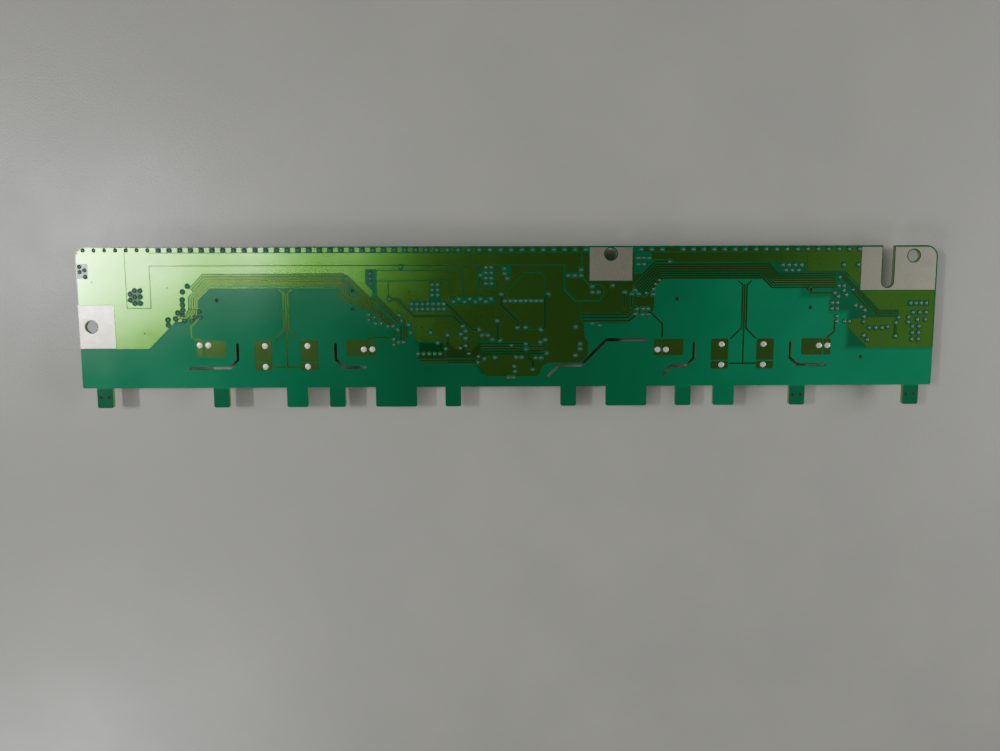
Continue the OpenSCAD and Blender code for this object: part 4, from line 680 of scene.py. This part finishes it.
# ------------------------------------------------------------------ the component side
@dataclass
class ComponentSide:
    """Solder at the leads, marks on cans and chips.

    Fields, in millimetres: how far a fillet spreads at its foot and stays clear at its top, height
    of the foil that it stands on, its sides, rows and squareness, and the share of its lead that it
    climbs; the least width of a transistor's tab; rim round a can's mark, half the angle that it
    spans in radians, its steps, and its top and bottom; and the place of a chip's mark from two
    sides, the mark's own sides, and its (radius, height) profile.
    """

    spread: float = 0.32
    clear: float = 0.015
    foil: float = 0.072
    fillet_sides: int = 16
    fillet_rows: int = 5
    fillet_corner: float = 7.0
    jointed: dict[str, float] = field(default_factory=lambda: {
        "ceramic_ends": 0.5, "resistor_ends": 0.6, "fuse_caps": 0.35, "transistor_tabs": 0.7,
        "can_leads": 0.9, "choke_terminals": 0.8})
    tab_w: float = 3.0
    can_rim: float = 0.7
    can_angle: float = 1.05
    can_steps: int = 15
    can_ink: tuple[float, float] = (0.01, -0.012)
    chip_inset: float = 0.9
    chip_sides: int = 20
    chip_disc: tuple[tuple[float, float], ...] = (
        (0, 0), (0.42, 0), (0.46, 0.008), (0.36, 0.012), (0.3, 0.004), (0, 0.004))

    def fillets(self) -> None:
        """Solder fillets: each is a rounded rectangle that shrinks from the pad to the lead with the
        square of its height, so its sides are hollow."""
        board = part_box("circuit_board")[0].z
        ring = superellipse(self.fillet_sides, self.fillet_corner)
        solids = []
        for node, climb in self.jointed.items():
            boxes = islands(node)
            low, high = boxes[:, 0], boxes[:, 1]
            if node == "transistor_tabs":
                keep = (high - low)[:, 0] > self.tab_w * MM
                low, high = low[keep], high[keep]
            part = np.linspace(0, 1, self.fillet_rows)
            out = self.spread * (1 - part) ** 2 + self.clear
            half = (high - low)[:, None, :2] / 2 + out[None, :, None] * MM
            flat = (low + high)[:, None, None, :2] / 2 + half[:, :, None] * ring[None, None]
            tall = (high - low)[:, 2] * climb
            z = board - self.foil * MM - part[None] * tall[:, None]
            grid = np.concatenate([flat, np.broadcast_to(z[:, :, None, None], flat.shape[:3] + (1,))], -1)
            middle = grid.mean(2, keepdims=True)
            ends = [np.broadcast_to(end, grid[:, :1].shape) for end in (middle[:, :1], middle[:, -1:])]
            solids.append(np.concatenate([ends[0], grid, ends[1]], 1))
        build("solder_fillets", np.concatenate(solids), Look.bright_solder)

    def can_marks(self) -> None:
        """Dark segment on each can's end: the part of its round end that lies past a chord."""
        boxes = islands("can_shells")
        r = float(boxes[0, 1, 0] - boxes[0, 0, 0]) / 2 - self.can_rim * MM
        angle = np.linspace(-self.can_angle, self.can_angle, self.can_steps)
        arc = np.stack([-np.cos(angle), np.sin(angle)], -1) * r
        chord = np.stack([np.full(len(angle), arc[0, 0]), arc[:, 1]], -1)
        loop = np.concatenate([arc, chord[::-1]])
        middle = loop.mean(0)
        top, under = (boxes[0, 0, 2] + h * MM for h in self.can_ink)
        shares = np.array([0.0, 1.0, 1.0, 0.0])
        flat = middle + shares[:, None, None] * (loop - middle)
        heights = np.array([top, top, under, under])
        grid = np.concatenate([flat, np.broadcast_to(heights[:, None, None], flat.shape[:2] + (1,))], -1)
        shift = np.concatenate([boxes.mean(1)[:, :2], np.zeros((len(boxes), 1))], 1)
        build("can_marks", grid[None] + shift[:, None, None], Look.black_ink, smooth=False)

    def chip_marks(self) -> None:
        """Round mould marks beside the first lead of each chip: shallow discs with a soft rim."""
        centres, heights = [], []
        for node in ("controller_body", "comparator_bodies", "transistor_bodies"):
            for low, high in islands(node):
                centres.append((low[0] + self.chip_inset * MM, low[1] + self.chip_inset * MM))
                heights.append(low[2])
        grids = np.concatenate([turned(self.chip_disc, np.array([centre]), z, DOWN, self.chip_sides)
                                for centre, z in zip(centres, heights)])
        build("mould_marks", grids, Look.resistor_glaze)


# ------------------------------------------------------------------ stage
@dataclass(frozen=True)
class Softbox:
    """A rectangular soft light.

    Fields: name, middle and aim in metres, width and height in metres, watts, and the angle in
    degrees that its grid lets the light spread over.
    """

    name: str
    place: tuple[float, float, float]
    aim: tuple[float, float, float]
    size: tuple[float, float]
    watts: float
    spread: float = 180.0

    def hang(self) -> None:
        """Adds the light to the scene."""
        data = bpy.data.lights.new(self.name, "AREA")
        data.shape, data.size, data.size_y, data.energy = "RECTANGLE", *self.size, self.watts
        data.spread = math.radians(self.spread)
        lamp = bpy.data.objects.new(self.name, data)
        lamp.location = self.place
        lamp.rotation_euler = (Vector(self.aim) - Vector(self.place)).to_track_quat("-Z", "Y").to_euler()
        bpy.context.scene.collection.objects.link(lamp)


@dataclass
class Studio:
    """Bench top, soft lights and the camera above the board.

    A row of ceiling lights stands to the left. The board mirrors it along its upper left edge, and
    that gives the mask its sheen there. A faint broad one is mirrored at the right end. The others lie
    outside the mirrored view, low round the bench, and light the ends more than the middle.

    Fields: side of the square bench, how far it lies below the part, strength of the even light
    round it all, the lights, and the camera's lens and sensor in millimetres, place, and directions
    ahead and up.
    """

    bench_side: float = 4.0
    bench_drop: float = 0.0002
    world: float = 0.035
    lights: tuple[Softbox, ...] = (
        Softbox("row_1", (-0.75, 0.107, 1.0), (-0.19, 0.03, 0.01), (0.183, 0.061), 4.2),
        Softbox("row_2", (-0.578, 0.107, 1.0), (-0.15, 0.03, 0.01), (0.162, 0.061), 0.5),
        Softbox("row_3", (-0.415, 0.121, 1.0), (-0.1, 0.03, 0.01), (0.162, 0.049), 0.3),
        Softbox("row_4", (-0.222, 0.121, 1.0), (-0.06, 0.03, 0.01), (0.223, 0.049), 0.06),
        Softbox("row_far", (-0.293, 0.218, 1.0), (-0.08, 0.03, 0.01), (0.365, 0.122), 0.1),
        Softbox("right_low", (1.1, 0.0, 0.5), (0.2, 0.0, 0.0), (0.6, 0.4), 9.6),
        Softbox("right_sheen", (0.6, -0.03, 0.8), (0.15, 0.0, 0.01), (0.35, 0.3), 0.04),
        Softbox("front_low", (-0.2, -1.1, 0.5), (0.0, 0.0, 0.0), (1.4, 0.4), 0.3),
        Softbox("back_low", (-0.2, 1.2, 0.5), (0.0, 0.0, 0.0), (1.4, 0.4), 0.3),
        Softbox("left_front", (-0.7, -0.8, 0.8), (-0.3, -0.15, 0.0), (0.4, 0.4), 0.8, 69.0),
    )
    lens_mm: float = 27.036
    sensor_mm: float = 36.0
    eye: tuple[float, float, float] = (-0.009, 0.0138, 0.3342)
    ahead: tuple[float, float, float] = (0.0142, -0.1069, -0.9942)
    up: tuple[float, float, float] = (0.0047, 0.9943, -0.1069)

    def bench(self) -> None:
        """The bench top, just under the part."""
        side, depth = self.bench_side / 2, -self.bench_drop
        mesh = bpy.data.meshes.new("bench")
        corners = [(x * side, y * side, depth) for x, y in ((-1, -1), (1, -1), (1, 1), (-1, 1))]
        mesh.from_pydata(corners, [], [(0, 1, 2, 3)])
        bench = bpy.data.objects.new("bench", mesh)
        bpy.context.scene.collection.objects.link(bench)
        PAINT.dress(bench, Look.bench_paint)

    def camera(self) -> None:
        """The camera, above the board and a little in front of its middle."""
        data = bpy.data.cameras.new("camera")
        data.sensor_width, data.lens, data.clip_start = self.sensor_mm, self.lens_mm, 0.01
        camera = bpy.data.objects.new("camera", data)
        forward = Vector(self.ahead).normalized()
        right = forward.cross(Vector(self.up)).normalized()
        turn = Matrix((right, right.cross(forward), -forward)).transposed().to_4x4()
        camera.matrix_world = Matrix.Translation(self.eye) @ turn
        bpy.context.scene.collection.objects.link(camera)
        bpy.context.scene.camera = camera

    def set_up(self) -> None:
        """Makes the bench, the lights and the camera."""
        world = bpy.data.worlds.new("studio")
        world.use_nodes = True
        world.node_tree.nodes["Background"].inputs["Color"].default_value = linear("#ffffff")
        world.node_tree.nodes["Background"].inputs["Strength"].default_value = self.world
        bpy.context.scene.world = world
        self.bench()
        for light in self.lights:
            light.hang()
        self.camera()


def dress_frame() -> None:
    """Gives every CAD node the finish of its slot in the record."""
    for part in frame["record"]["subparts"]:
        PAINT.dress(frame["nodes"][part["node"]], Look[part["material_slot"]])
        LOG.info("%s: %s", part["node"], part["material_slot"])


def main() -> None:
    """Builds the printed side, the wound pieces, the component side and the stage, in that order."""
    logging.basicConfig(level=logging.INFO, format="%(message)s")
    dress_frame()
    printed = PrintedSide()
    printed.vias()
    printed.holes()
    printed.pads()
    wound = Windings()
    for side in ("left", "right"):
        wound.coil(f"{side}_primary_coil", f"{side}_primary_winding", wound.primary_wire, Look.primary_wire)
        wound.coil(f"{side}_secondary_coils", f"{side}_secondary_windings", wound.secondary_wire,
                   Look.secondary_wire)
    wound.choke()
    parts = ComponentSide()
    parts.fillets()
    parts.can_marks()
    parts.chip_marks()
    Studio().set_up()


if __name__ == "__main__":
    main()
